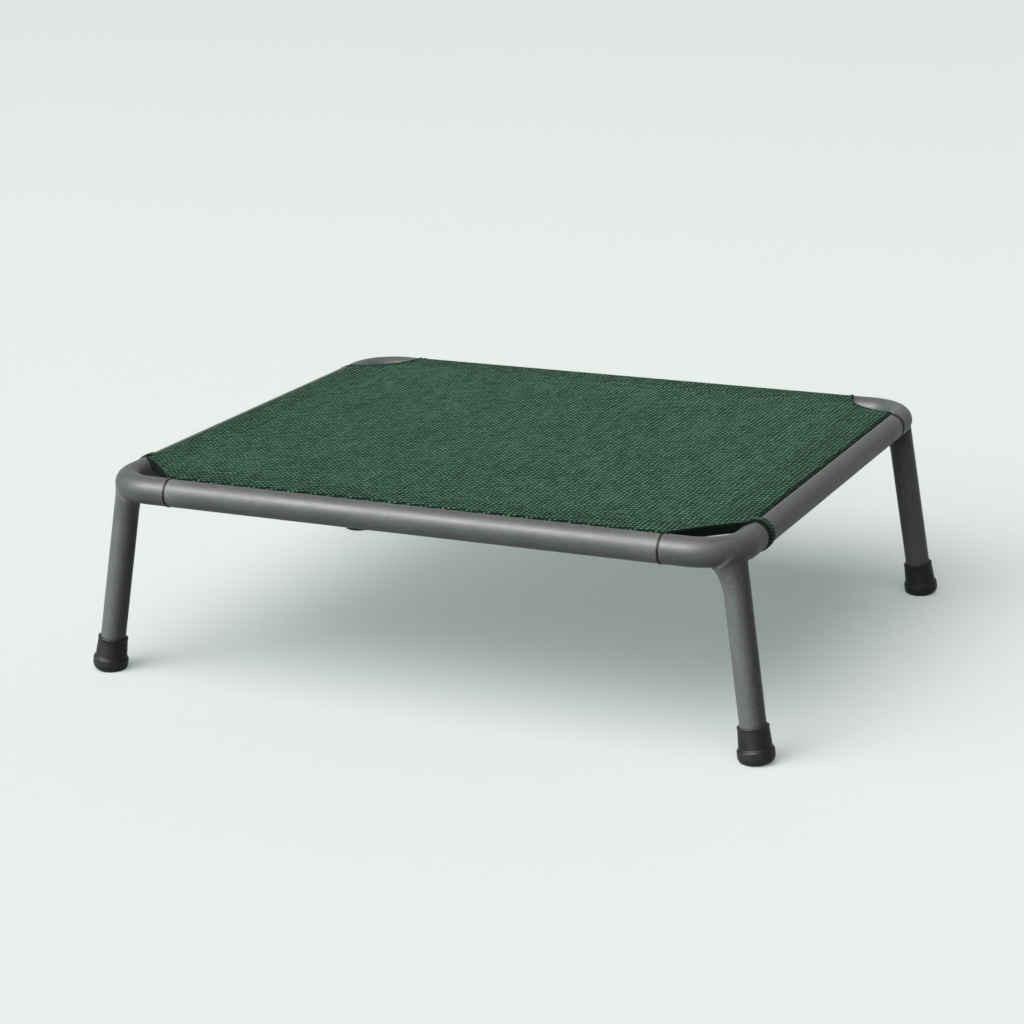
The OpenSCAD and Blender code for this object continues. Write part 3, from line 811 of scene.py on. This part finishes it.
# %% [markdown]
# ## The sling
#
# The sling is one sheet. Its middle is a flat panel with a little sag, and each corner is cut away in an arc.
# At every rail the cloth bends over the slot's inner lip, goes down the slot, round the spline that holds it
# in the tube, back up and under the panel, where the hem is sewn down. Cloth simulation suits slack cloth,
# but this sheet is stretched tight and its path is known, so it is worked out directly: the panel row by
# row, and a flap for each rail as a profile carried along it. Panel and flaps share their edge points, so
# merging makes one sheet, and a Solidify modifier gives it its thickness on the inner side.
#
# Hem first: the profile that all four flaps share, as distance in from the rail's axis and height above it.

# %% Hem profile
CLOTH_T = 0.9 * MM
SPLINE_R = 2.5 * MM
SPLINE_CLEAR = 0.1 * MM
HEM_AT = 7.1 * MM
HEM_R = SPLINE_R + SPLINE_CLEAR + CLOTH_T
HEM_WIDTH = 37 * MM
SNUG = 0.05 * MM
slot_out = np.array([math.cos(SLOT_ANGLE), math.sin(SLOT_ANGLE)])
slot_in = np.array([math.sin(SLOT_ANGLE), -math.cos(SLOT_ANGLE)])
lip_offset = SLOT_W / 2 + LIP_R
lip_middle = math.sqrt(MID_R ** 2 - lip_offset ** 2) * slot_out + lip_offset * slot_in
OUTER_BEND = LIP_R + 2 * CLOTH_T + 2 * SNUG
INNER_BEND = LIP_R + SNUG
PANEL_RISE = lip_middle[1] + OUTER_BEND
PANEL_EDGE = lip_middle[0]
CURL = 118
SLOT_SIDE = 90 + math.degrees(SLOT_ANGLE)


def hem_round(start, stop, steps):
    """The hem's outside round the spline, with angles from the slot's direction, turning outwards first."""
    t = np.linspace(start, stop, steps)[:, None]
    return HEM_AT * slot_out + HEM_R * (np.cos(t) * slot_out - np.sin(t) * slot_in)


hem_from = math.asin((OUTER_BEND - lip_offset) / HEM_R)
hem_to = TURN - math.asin((lip_offset - INNER_BEND) / HEM_R)
under_rise = lip_middle[1] + INNER_BEND
curl_profile = arc_points(lip_middle, OUTER_BEND, 90, CURL, 8)
hem_profile = np.concatenate([
    arc_points(lip_middle, OUTER_BEND, CURL, SLOT_SIDE, 6),
    hem_round(hem_from, hem_to, 26),
    arc_points(lip_middle, INNER_BEND, SLOT_SIDE, 90, 6),
    np.linspace((PANEL_EDGE, under_rise), (HEM_WIDTH, under_rise), 9)[1:]])


def path_length(profile):
    """Distance along a profile from its first point, as the sum of its steps."""
    steps = np.linalg.norm(np.diff(profile, axis=0), axis=-1)
    return np.concatenate([[0], np.cumsum(steps)])


curl_run = path_length(curl_profile)
hem_run = curl_run[-1] + path_length(hem_profile)
print(f"panel top {BED_Z + PANEL_RISE:.4f}, hem runs {hem_run[-1] / MM:.1f} mm from the panel's edge")

# %% [markdown]
# Next the cut corners. Each is an arc between two rails. The front ones are nearly straight and the back ones
# bow in. On a line at some distance in from a rail's axis, the circle's equation says how far from the other
# rail's axis the cut lies, and that gives the ends of every row of the panel and of every flap.

# %% Corner cuts
CUT_REACH = 55 * MM
CUT_INSET = 1.056 * MM
CUT_SAG = {"front": 2 * MM, "back": 14 * MM}
CUT_CHORD = (CUT_REACH - CUT_INSET) * math.sqrt(2)
CUT_MIDDLE = (CUT_REACH + CUT_INSET) / 2


def cut_circle(end):
    """Radius of a cut's circle, and how far outside the corner its middle lies along each axis."""
    sag = CUT_SAG[end]
    radius = CUT_CHORD ** 2 / (8 * sag) + sag / 2
    return radius, (radius - sag) / math.sqrt(2) - CUT_MIDDLE


def cut_in(inward, end):
    """How far from one rail's axis the cut lies, on a line that is inward from the other rail's axis."""
    radius, outside = cut_circle(end)
    return np.sqrt(radius ** 2 - (inward + outside) ** 2) - outside


for end in CUT_SAG:
    edge_at = cut_in(PANEL_EDGE, end) / MM
    print(f"{end} cut: radius {cut_circle(end)[0] / MM:.1f} mm, edge at {edge_at:.1f} mm")

# %% [markdown]
# Now the lines of the panel's grid. Columns are shares of a row's length, crowded where the hem is sewn so
# that the seam's small groove has points to bend at. Rows lie closer in the cut corners. The hem goes into
# the slot only between its ends, clear of the joints, so these ends are among the lines too.

# %% Rows and columns of the panel
HEM_START = 59.6 * MM
CUT_ENDS = {
    "front": ("front", "front"),
    "right": ("front", "back"),
    "back": ("back", "back"),
    "left": ("back", "front")}
EDGE_STEPS = np.array([0, 3, 7, 12, 17, 22, 25.5, 27, 28, 28.7, 29.4, 30.2, 31.5, 33.5, 37, 42, 47]) * MM


def edge_ends(side, inward):
    """Where a rail's cloth edge ends along it, before the cut corners: lowest and highest place."""
    half = SIDES[side][2]
    low_end, high_end = CUT_ENDS[side]
    return cut_in(inward, low_end) - half, half - cut_in(inward, high_end)


def hem_shares(side):
    """The hem's two ends as shares of the edge, measured where the curl ends."""
    low, high = edge_ends(side, curl_profile[-1, 0])
    hem_half = SIDES[side][2] - HEM_START
    return (-hem_half - low) / (high - low), (hem_half - low) / (high - low)


def shares_along(length, steps, *extra):
    """Shares from 0 to 1, crowded at both ends, with the extra ones and no doubles."""
    edge = EDGE_STEPS / length
    shares = np.concatenate([edge, np.linspace(edge[-1], 1 - edge[-1], steps), 1 - edge, *extra])
    return np.unique(np.round(shares, 8))


panel_half = np.array([HALF_L - PANEL_EDGE, HALF_W - PANEL_EDGE])
front_turn = cut_in(PANEL_EDGE, "front")
back_turn = cut_in(PANEL_EDGE, "back")
ends_x = np.concatenate([hem_shares("front"), hem_shares("back")])
ends_y = np.array(hem_shares("right"))
columns = shares_along(2 * panel_half[0], 44, ends_x, 1 - ends_x)
side_low, side_high = edge_ends("right", PANEL_EDGE)
side_rows = side_low + (side_high - side_low) * shares_along(side_high - side_low, 40, ends_y)
front_rows = PANEL_EDGE + (front_turn - PANEL_EDGE) * np.linspace(0, 1, 22)[:-1]
back_rows = PANEL_EDGE + (back_turn - PANEL_EDGE) * np.linspace(0, 1, 26)[:-1]
row_y = np.concatenate([front_rows - HALF_W, side_rows, HALF_W - back_rows[::-1]])
row_half = np.concatenate([
    HALF_L - cut_in(front_rows, "front"), np.full(len(side_rows), panel_half[0]),
    HALF_L - cut_in(back_rows, "back")[::-1]])
print("panel grid", len(row_y), "rows by", len(columns), "columns")

# %% [markdown]
# The panel's height is a formula over that grid. Each flap starts with a short curl over the rail's top along
# the whole edge, and goes on into the slot between the hem's ends. Besides its points, each grid gives the
# flat cloth coordinate and the edge mark that the twill reads. On the sling that mark is painted shade: it
# grows along the curl, is full in the slot and fades out where the hem comes back under the panel.

# %% Sling panel and flaps
SAG = 1.5 * MM
SEAM_AT = 33 * MM
SEAM_DEPTH = 0.35 * MM
SEAM_WIDTH = 1.1 * MM
HEM_FADE = 1.5 * MM
LIP_FADE = 2 * MM
SAME_SHARE = 1e-6


def sag_at(x, y):
    """How far the panel hangs: the sag times (1 - x²)(1 - y²), with x and y in shares of the half sizes."""
    return SAG * (1 - (x / panel_half[0]) ** 2) * (1 - (y / panel_half[1]) ** 2)


def sling_panel():
    """Rows at the given y, each from minus to plus its half length. The height is the panel's, less the sag,
    less a bell-shaped groove along each seam."""
    x = row_half[:, None] * (2 * columns - 1)
    y = np.broadcast_to(row_y[:, None], x.shape)
    from_rail = np.stack([HALF_L - np.abs(x), HALF_W - np.abs(y)])
    groove = SEAM_DEPTH * np.exp(-((from_rail - SEAM_AT) / SEAM_WIDTH) ** 2).max(0)
    height = BED_Z + PANEL_RISE - np.clip(sag_at(x, y), 0, None) - groove
    points = np.stack([x, y, height], -1)
    hem = np.clip((HEM_WIDTH - from_rail.min(0)) / HEM_FADE + 0.5, 0, 1)
    return points, np.stack([x, y, hem], -1), np.zeros(x.size)


def sling_flap(side):
    """Two grids: the curl along the whole edge, whose ends follow the cuts, and the hem between its ends. The
    flat coordinate runs on outwards from the panel's edge by the length of the profile."""
    shares = columns if side in ("front", "back") else (side_rows - side_low) / (side_high - side_low)
    shares = 1 - shares[::-1] if side in ("back", "left") else shares
    low, high = edge_ends(side, curl_profile[:, :1])
    curl_along = low + (high - low) * shares
    hem_low, hem_high = hem_shares(side)
    within = (shares > hem_low - SAME_SHARE) & (shares < hem_high + SAME_SHARE)
    hem_along = np.broadcast_to(curl_along[-1, within], (len(hem_profile), within.sum()))
    grids, flats, edges = [], [], []
    for along, profile, run in ((curl_along, curl_profile, curl_run), (hem_along, hem_profile, hem_run)):
        points = on_side(side, along, profile[:, :1], profile[:, 1:])
        flat = on_side(side, along, PANEL_EDGE - run[:, None], 0)
        flat[..., 2] = 1
        grids.append((points, grid_quads(*points.shape[:2])[:, ::-1]))
        flats.append(flat.reshape(-1, 3))
        # Painted shade: the cloth is painted darker along the curl and down the slot, fading out under the
        # panel.
        in_slot = np.clip((PANEL_EDGE - profile[:, 0]) / LIP_FADE + 1, 0, 1)
        edge = np.clip(run / curl_run[-1], 0, 1) ** 2 * in_slot
        edges.append(np.broadcast_to(edge[:, None], along.shape).ravel())
    return grids, flats, edges


panel_points, panel_flat, panel_slot_shade = sling_panel()
sling_grids = [(panel_points, grid_quads(*panel_points.shape[:2]))]
sling_flats = [panel_flat.reshape(-1, 3)]
sling_slot_shade = [panel_slot_shade]
for side in SIDES:
    grids, flats, edges = sling_flap(side)
    sling_grids += grids
    sling_flats += flats
    sling_slot_shade += edges
sling = make_piece(
    "woven_sling", sling_grids, cloth_material, ["sling"],
    {"weave": np.concatenate(sling_flats), "edge": np.concatenate(sling_slot_shade)}, closed=False)
thickness = sling.modifiers.new("cloth thickness", "SOLIDIFY")
thickness.thickness = CLOTH_T
thickness.offset = -1
print(f"the sling is one sheet {CLOTH_T / MM:.1f} mm thick, open round its rim only")

# %% [markdown]
# ## Bound corner cuts
#
# Cut cloth frays, so each corner cut is bound with a tape. Its near black colour is painted shade: the tape
# stands in the shade under the cloth's corners. The tape is woven with fine ribs across it, which read a
# coordinate along the tape, so that they turn with the cut.

# %% Tape finish
TAPE_RIB = 0.9 * MM
tape = Finish("binding_tape_painted_shade", specular_ior_level=0.05)
tape_xyz = tape.node("SeparateXYZ", {0: tape.mark("weave", "Vector")}).outputs
tape_rib = tape.wave(tape.math("MULTIPLY", tape_xyz[0], TURN / TAPE_RIB))
tape_grain = tape.noise(tape.place(), 700, 3.0)
tape_tone = tape.total((tape_grain, 0.5), (tape_rib, 0.5))
# Painted shade: the tape's colour is near black, for the shade under the cloth's corners.
tape_shade_colour = tape.ramp(tape_tone, [(0.15, (0.0006, 0.0020, 0.0013)), (0.85, (0.0020, 0.0064, 0.0041))])
tape_rough = tape.spread(tape_tone, 0.0, 1.0, 0.8, 0.6)
tape_material = tape.surface(tape_shade_colour, tape_rough, tape_tone, 0.15 * MM, 0.6)
print("finish", tape_material.name, len(tape.tree.nodes), "nodes")

# %% [markdown]
# The tape lies on the cloth's edge, turns over it and hangs a few millimetres below, where the tubes leave
# room. That dark hanging part is painted shade under the cut. Its section is a bent line with a thickness:
# one outline goes along its one face, round the end and back along the other. A Solidify modifier would leave
# square ends. That outline is carried along the cut's arc, and both ends are closed by their middle points.

# %% Binding tape
CUT_FACING = math.radians(225)
TAPE_T = 0.6 * MM
TAPE_DROP = 8 * MM
LEAST_DROP = 0.06
TAPE_ON_TOP = 1.7 * MM
TAPE_BEND = 0.7 * MM
TAPE_LIFT = 0.15 * MM
TAPE_LINES = 0.5 * MM
TUBE_CLEAR = 0.1 * MM


def thick_outline(path, half_thickness, cap_steps=4):
    """The outline of a line with a thickness: the path moved along its normals to one side, a half circle,
    the path moved to the other side, backwards, and a half circle."""
    ahead = unit(np.gradient(path, axis=0))
    normal = np.stack([-ahead[:, 1], ahead[:, 0]], -1)
    t = np.linspace(0, np.pi, cap_steps + 2)[1:-1, None]
    far = path[-1] + half_thickness * (np.cos(t) * normal[-1] + np.sin(t) * ahead[-1])
    near = path[0] - half_thickness * (np.cos(t) * normal[0] + np.sin(t) * ahead[0])
    shift = half_thickness * normal
    return np.concatenate([path + shift, far, (path - shift)[::-1], near])


def tube_top(points):
    """Height of the bent tube's surface above points of the bed plane, where they are over the tube."""
    flat = np.concatenate([points, np.full_like(points[..., :1], BED_Z)], -1)
    away = np.linalg.norm(flat - nearest_axis(flat), axis=-1)
    return BED_Z + np.sqrt(np.clip((RAIL_R + TUBE_CLEAR) ** 2 - away ** 2, 0, None))


def binding(end, arc_steps=60):
    """The outline's first number is a distance from the cut towards the bed, its second a height over the
    panel. Carried along the arc: middle + (radius + distance) (cos t, sin t). Where a tube is close below,
    the hanging part is shortened to the room there is."""
    radius, outside = cut_circle(end)
    half_angle = math.asin(CUT_CHORD / 2 / radius)
    t = CUT_FACING + np.linspace(-half_angle, half_angle, arc_steps)
    turn = arc_points((TAPE_BEND - TAPE_T / 2, TAPE_LIFT - TAPE_BEND), TAPE_BEND, 90, 180, 8)
    top = np.linspace((TAPE_ON_TOP, TAPE_LIFT), turn[0], 5)[:-1]
    drop = np.linspace(turn[-1], (turn[-1, 0], TAPE_LIFT - TAPE_DROP), 7)[1:]
    outline = thick_outline(np.concatenate([top, turn, drop]), TAPE_T / 2)
    spoke = np.stack([np.cos(t), np.sin(t)], -1)
    middle = np.array([HALF_L + outside, HALF_W + outside])
    edge = middle + (radius - TAPE_T / 2) * spoke
    room = np.clip((BED_Z + PANEL_RISE - tube_top(edge)) / TAPE_DROP, LEAST_DROP, 1)
    flat = middle + (radius + outline[:, 0])[None, :, None] * spoke[:, None, :]
    rise = np.where(outline[:, 1] < 0, outline[:, 1] * room[:, None], outline[:, 1])
    points = np.concatenate([flat, (BED_Z + PANEL_RISE + rise)[..., None]], -1)
    along = np.broadcast_to((radius * t)[:, None], rise.shape)
    across = np.broadcast_to(np.arange(len(outline)) * TAPE_LINES, rise.shape)
    return points, np.stack([along, across, np.zeros_like(along)], -1)


def capped(points):
    """A tube of rows with its first and last rows closed by their middle points."""
    rows = points.shape[1]
    first = np.broadcast_to(points[0].mean(0), (1, rows, 3))
    last = np.broadcast_to(points[-1].mean(0), (1, rows, 3))
    return np.concatenate([first, points, last])


for corner in CORNERS:
    points, flat = binding(corner.split("_")[0])
    points = capped(at_corner(corner, points))
    make_piece(
        corner + "_binding_tape", [ring_grid(points)], tape_material, ["binding_" + corner],
        {"weave": capped(flat).reshape(-1, 3)})

# %% [markdown]
# ## Cloth loops
#
# At the front ends of the side rails a narrow strip of the same cloth comes off the sling's edge and goes
# round the rail, which keeps the corner from creeping. The strip's middle line is a circle close to the rail
# that rises to the panel's level where it joins it. Its section is a soft square, carried round that line.
# The strip looks smoother than the bed, so its flat coordinate is stretched, which draws the weave finer. A
# strong edge mark makes its front edge darker.

# %% Cloth loops
LOOP_W = 11 * MM
LOOP_AT = HEM_START + LOOP_W / 2
LOOP_DARK_REACH = 2.2 * MM
LOOP_DARK = 2.5
LOOP_WEAVE = 1.8
LOOP_T = 1.1 * MM
LOOP_CLEAR = 0.15 * MM
LOOP_LIFT = 0.25 * MM
LOOP_R = RAIL_R + LOOP_CLEAR + LOOP_T / 2
LOOP_TURNS = np.radians((68, 424))
LEVEL_UNTIL = math.radians(118)
LEVEL_FADE = math.radians(30)
LEAST_SINE = 0.3


def soft_square(half_width, half_height, steps, power):
    """A superellipse: half sizes times the cosine and sine, each raised to 2 / power with its sign kept."""
    t = full_turn(steps)
    wide = half_width * np.sign(np.cos(t)) * np.abs(np.cos(t)) ** (2 / power)
    high = half_height * np.sign(np.sin(t)) * np.abs(np.sin(t)) ** (2 / power)
    return wide, high


def cloth_loop(side, end, steps=90):
    """Middle line: the loop's radius, blended near the top to (panel height) / sin(angle), which is a level
    line."""
    angle = np.linspace(*LOOP_TURNS, steps)
    level_line = (PANEL_RISE - LOOP_T / 2 + LOOP_LIFT) / np.clip(np.sin(angle), LEAST_SINE, None)
    blend = smooth(np.clip((LEVEL_UNTIL - angle) / LEVEL_FADE, 0, 1))
    radius = LOOP_R + blend * (level_line - LOOP_R)
    wide, high = soft_square(LOOP_W / 2, LOOP_T / 2, 28, 6)
    reach = radius[:, None] + high
    along = end * (SIDES[side][2] - LOOP_AT) + np.broadcast_to(wide, reach.shape)
    points = on_side(side, along, reach * np.cos(angle)[:, None], reach * np.sin(angle)[:, None])
    round_rail = np.broadcast_to((LOOP_R * angle)[:, None], along.shape)
    flat = LOOP_WEAVE * np.stack([along, round_rail, np.zeros_like(along)], -1)
    from_front = SIDES[side][2] - HEM_START - end * along
    return points, flat, LOOP_DARK * np.clip(1.5 - from_front / LOOP_DARK_REACH, 0, 1)


for side, end in (("left", 1), ("right", -1)):
    points, flat, edge = cloth_loop(side, end)
    edge = np.concatenate([edge[:1], edge, edge[-1:]])
    make_piece(
        side + "_cloth_loop", [ring_grid(capped(points))], cloth_material, ["loop_" + side],
        {"weave": capped(flat).reshape(-1, 3), "edge": edge.ravel()})

# %% [markdown]
# ## Sewing thread
#
# The hems are sewn down with thread of the cloth's own colour, so the seams hardly show in the photograph,
# but without them nothing would hold the hem. Each stitch is a short capsule that rises out of the cloth and
# dips back into it. One small grid is repeated along all the seam lines by broadcasting, without a loop.

# %% Sewing thread
thread_material = grained(
    "green_sewing_thread", (2600, 2.0), [(0.006, 0.022, 0.013), (0.018, 0.052, 0.033)], (0.65, 0.45),
    0.1 * MM, 0.6, specular_ior_level=0.2, sheen_weight=0.05)
STITCH = 3.4 * MM
STITCH_STEP = 4.4 * MM
THREAD_R = 0.32 * MM
THREAD_SINK = 0.12 * MM
SEAM_SHORT = 12 * MM
TAPE_SEAM_IN = 1.0 * MM
TAPE_SEAM_SHARE = 0.9
TAPE_STITCH_STEP = 3.9 * MM
HEM_STITCH_LIFT = 0.30 * MM
TAPE_STITCH_LIFT = 0.22 * MM


def stitches(starts, aheads, lift):
    """Capsules at the starts, along level directions: the middle line rises as 1 - s², and the radius
    shrinks to nothing at both ends as the square root of 1 - s⁴, for s from -1 to 1."""
    s = np.linspace(-1, 1, 7)
    t = full_turn(6)
    radius = THREAD_R * np.sqrt(1 - s ** 4)[:, None]
    sideways = np.stack([-aheads[:, 1], aheads[:, 0], np.zeros(len(aheads))], -1)
    along = s[:, None] * STITCH / 2 + 0 * t
    rise = lift * (1 - s[:, None] ** 2) - THREAD_SINK + radius * np.sin(t)
    wide = radius * np.cos(t)
    points = starts[:, None, None, :] + along[..., None] * aheads[:, None, None, :]
    points = points + wide[..., None] * sideways[:, None, None, :]
    points[..., 2] += rise
    quads = grid_quads(len(s), len(t), close_columns=True)
    return points, (quads + np.arange(len(starts))[:, None, None] * len(s) * len(t)).reshape(-1, 4)


def seam(side):
    """Evenly spaced stitch places on the panel along one rail, and their direction."""
    low, high = edge_ends(side, SEAM_AT)
    count = int((high - low - SEAM_SHORT) / STITCH_STEP)
    along = (low + high) / 2 + (np.arange(count) - (count - 1) / 2) * STITCH_STEP
    places = on_side(side, along, SEAM_AT, PANEL_RISE - SEAM_DEPTH)
    places[:, 2] -= sag_at(places[:, 0], places[:, 1])
    ahead = on_side(side, along + 1, SEAM_AT, 0) - on_side(side, along, SEAM_AT, 0)
    return places, ahead


def tape_seam(corner):
    """Stitch places along a binding, on the part that lies on the panel, and their directions."""
    radius, outside = cut_circle(corner.split("_")[0])
    half_angle = math.asin(CUT_CHORD / 2 / radius) * TAPE_SEAM_SHARE
    line = radius + TAPE_SEAM_IN
    count = int(2 * half_angle * line / TAPE_STITCH_STEP)
    t = CUT_FACING + np.linspace(-half_angle, half_angle, count)
    top = np.full_like(t, BED_Z + PANEL_RISE + TAPE_LIFT + TAPE_T / 2)
    places = np.stack([HALF_L + outside + line * np.cos(t), HALF_W + outside + line * np.sin(t), top], -1)
    ahead = np.stack([-np.sin(t), np.cos(t), np.zeros_like(t)], -1)
    return at_corner(corner, places), at_corner(corner, ahead)


sewn = (
    ("hem_stitches", [seam(side) for side in SIDES], HEM_STITCH_LIFT),
    ("binding_stitches", [tape_seam(corner) for corner in CORNERS], TAPE_STITCH_LIFT))
for name, lines, lift in sewn:
    places = np.concatenate([places for places, aheads in lines])
    aheads = np.concatenate([aheads for places, aheads in lines])
    make_piece(name, [stitches(places, aheads, lift)], thread_material)

# %% [markdown]

# %% [markdown]
# ## Zinc and spline plastic
#
# The spigots, washers and lock screws are zinc plated steel, and the splines are pale extruded plastic. Their
# CAD solids have the right shape and hardly show, so they stay and only get finishes: zinc with a cloudy
# brightness, and plastic with a soft grain.

# %% Finishes for the CAD nodes that stay
zinc = Finish("zinc_plated_steel", metallic=1.0)
zinc_place = zinc.place()
zinc_cloud = zinc.noise(zinc_place, 160, 4.0, 0.6)
zinc_grain = zinc.noise(zinc_place, 2200, 2.0)
zinc_material = zinc.surface(
    zinc.ramp(zinc_cloud, [(0.3, (0.42, 0.44, 0.46)), (0.7, (0.66, 0.67, 0.66))]),
    zinc.spread(zinc_cloud, 0.3, 0.7, 0.42, 0.26), zinc_grain, 0.03 * MM, 0.5)
spline_material = grained(
    "pale_spline_plastic", (420, 3.0, 0.6), [(0.52, 0.52, 0.48), (0.68, 0.68, 0.64)], (0.38, 0.52),
    0.05 * MM, specular_ior_level=0.45)

kept = {"spline": spline_material, "washer": zinc_material, "lock": zinc_material}
for name, node in frame["nodes"].items():
    finish = kept.get(name.split("_")[0]) or (zinc_material if name.endswith("_spigot") else None)
    if finish:
        node.material_slots[0].material = finish
        print(name, "gets", finish.name)

# %% [markdown]
# ## Floor
#
# The cot stands on a plain pale floor that fills the whole picture. A large plane would show a horizon, so
# the floor is flat near the cot and rises far out like a shallow bowl. Part of its brightness is its own
# glow, as on a lit table, which keeps the shadow as light as in the photograph. That glow would also light
# the tubes from below, so the floor is hidden from diffuse rays.

# %% Floor
FLOOR_FLAT = 8.0
FLOOR_REACH = 18.0
FLOOR_RISE = 2.2
BACK_SHADE_FROM = -1.5
BACK_SHADE_TO = 6.0
GLOW = (0.186, 0.229, 0.210, 1.0)

ground = Finish("pale_floor", specular_ior_level=0.1, emission_color=GLOW, emission_strength=1.0)
ground_place = ground.place()
ground_grain = ground.noise(ground_place, 60, 3.0)
ground_y = ground.node("SeparateXYZ", {0: ground_place}).outputs[1]
# Painted shade: the floor's colour gets darker towards the back, as if the light fell off there.
ground_back_shade = ground.spread(ground_y, BACK_SHADE_FROM, BACK_SHADE_TO, 0.0, 1.0)
ground_tone = ground.math("MULTIPLY_ADD", ground_grain, 0.06, ground_back_shade)
ground_material = ground.surface(
    ground.ramp(ground_tone, [(0.0, (0.283, 0.280, 0.276)), (1.0, (0.239, 0.237, 0.233))]),
    ground.spread(ground_grain, 0.3, 0.7, 0.85, 0.95), ground_grain, 0.02 * MM, 0.1)


def floor_bowl(rows=30, columns=96):
    """Rings about the middle. The height is the rise times the smooth share of the way from the flat part's
    edge to the rim."""
    t = full_turn(columns)
    s = np.linspace(0, 1, rows)[:, None]
    radius = FLOOR_FLAT + (FLOOR_REACH - FLOOR_FLAT) * s
    height = FLOOR_RISE * smooth(s) + 0 * t
    return np.stack([radius * np.cos(t), radius * np.sin(t), height], -1)


bowl_points = floor_bowl()
floor_rings, floor_spokes = bowl_points.shape[:2]
floor_faces = grid_quads(floor_rings, floor_spokes, close_columns=True)[:, ::-1].tolist()
floor_mesh = bpy.data.meshes.new("floor")
floor_mesh.from_pydata(bowl_points.reshape(-1, 3).tolist(), [], floor_faces + [list(range(floor_spokes))])
floor_mesh.shade_smooth()
floor_mesh.materials.append(ground_material)
floor = bpy.data.objects.new("floor", floor_mesh)
bpy.context.scene.collection.objects.link(floor)
floor.visible_diffuse = False
print("floor", len(floor_mesh.polygons), "faces, flat to", FLOOR_FLAT, "m from the cot")

# %% [markdown]
# ## Lamps
#
# Sun lamps with a wide angle act like big softboxes far away, so the light is even over the whole floor. The
# key lamp, from high in front, gives the soft shadow under the bed. A narrower lamp only makes shine: it
# gives the bright lines along the rails. In the photograph the front legs are darker on their right sides
# than the key would leave them, so a third lamp lights these two alone, from the left, in the key's place.
# That is called light linking: a lamp has a collection of the pieces that it lights or leaves out. The table
# gives each lamp's direction, its strength and its width in degrees.

# %% Lamps
LAMPS = {
    "key_light": (Vector((-0.08, -0.50, 1.0)), 3.9, 60),
    "shine_light": (Vector((-0.40, -0.59, 0.70)), 10.8, 24),
    "leg_light": (Vector((-0.66, -0.68, 0.36)), 5.0, 30)}


def soft_lamp(name, toward, strength, width):
    """A far lamp in a direction of the sky, as wide there as its angle says."""
    lamp = bpy.data.objects.new(name, bpy.data.lights.new(name, "SUN"))
    lamp.data.energy = strength
    lamp.data.angle = math.radians(width)
    lamp.rotation_mode = "QUATERNION"
    lamp.rotation_quaternion = toward.to_track_quat("Z", "Y")
    bpy.context.scene.collection.objects.link(lamp)
    print(name, "strength", strength, "from", tuple(round(value, 2) for value in toward))
    return lamp


def limit_lamp(lamp, pieces, state):
    """Light linking: INCLUDE lights these pieces alone, and EXCLUDE all but them."""
    chosen = bpy.data.collections.new(lamp.name + "_pieces")
    for piece in pieces:
        chosen.objects.link(piece)
    for member in chosen.collection_objects:
        member.light_linking.link_state = state
    lamp.light_linking.receiver_collection = chosen


lamps = {name: soft_lamp(name, *values) for name, values in LAMPS.items()}
lamps["shine_light"].visible_diffuse = False
front_legs = [legs["front_left"], legs["front_right"]]
limit_lamp(lamps["key_light"], front_legs, "EXCLUDE")
limit_lamp(lamps["leg_light"], front_legs, "INCLUDE")

# %% [markdown]
# ## Sky
#
# The sky is pale and dim, with three soft bright areas that the satin tubes mirror: a window at the front
# left, and a weak rim and a weak side at the back. An area is the cosine of the angle to its middle, raised
# to a power, and it fades out at the horizon. Because the floor's glow doesn't reach the tubes, the sky's
# lower half gives them a weaker light from below, which grows towards straight down. The table gives each
# area's direction and strength.

# %% Sky
SKY_AREAS = {
    "window": (Vector((-0.47, -0.81, 0.36)), 10.0),
    "rim": (Vector((-0.40, 0.87, 0.30)), 0.8),
    "side": (Vector((0.45, 0.85, 0.30)), 0.9)}
AREA_POWER = 6.0
HORIZON = (-0.04, 0.18)
BELOW_STRENGTH = 0.45
SKY = (0.95, 1.0, 0.975, 1.0)
SKY_STRENGTH = 0.07

sky = bpy.data.worlds.new("pale_sky")
sky.use_nodes = True
sky_nodes = Nodes(sky.node_tree)
sky_place = sky_nodes.node("TexCoord", {}).outputs["Generated"]
sky_height = sky_nodes.node("SeparateXYZ", {0: sky_place}).outputs["Z"]


def bright_area(toward):
    """The cosine of the angle to a direction, at least 0, raised to a power."""
    ends = {0: sky_place, 1: toward.normalized()}
    nearness = sky_nodes.node("VectorMath", ends, operation="DOT_PRODUCT").outputs["Value"]
    return sky_nodes.math("POWER", sky_nodes.math("MAXIMUM", nearness, 0.0), AREA_POWER)


sky_areas = sky_nodes.total(*((bright_area(toward), strength) for toward, strength in SKY_AREAS.values()))
sky_above = sky_nodes.node("MapRange", {"Value": sky_height, 1: HORIZON[0], 2: HORIZON[1]}).outputs[0]
sky_level = sky_nodes.math("MULTIPLY_ADD", sky_areas, sky_above, SKY_STRENGTH)
sky_below = sky_nodes.math("MAXIMUM", sky_nodes.math("MULTIPLY", sky_height, -BELOW_STRENGTH), 0.0)
sky_level = sky_nodes.math("ADD", sky_level, sky_below)
background = sky.node_tree.nodes["Background"].inputs
background["Color"].default_value = SKY
sky.node_tree.links.new(sky_level, background["Strength"])
bpy.context.scene.world = sky
bpy.context.scene.view_settings.view_transform = "Standard"
print("sky", len(sky.node_tree.nodes), "nodes, strength", SKY_STRENGTH)

# %% [markdown]
# ## Last update
#
# The view layer is updated once more.

# %% Update the view layer
bpy.context.view_layer.update()
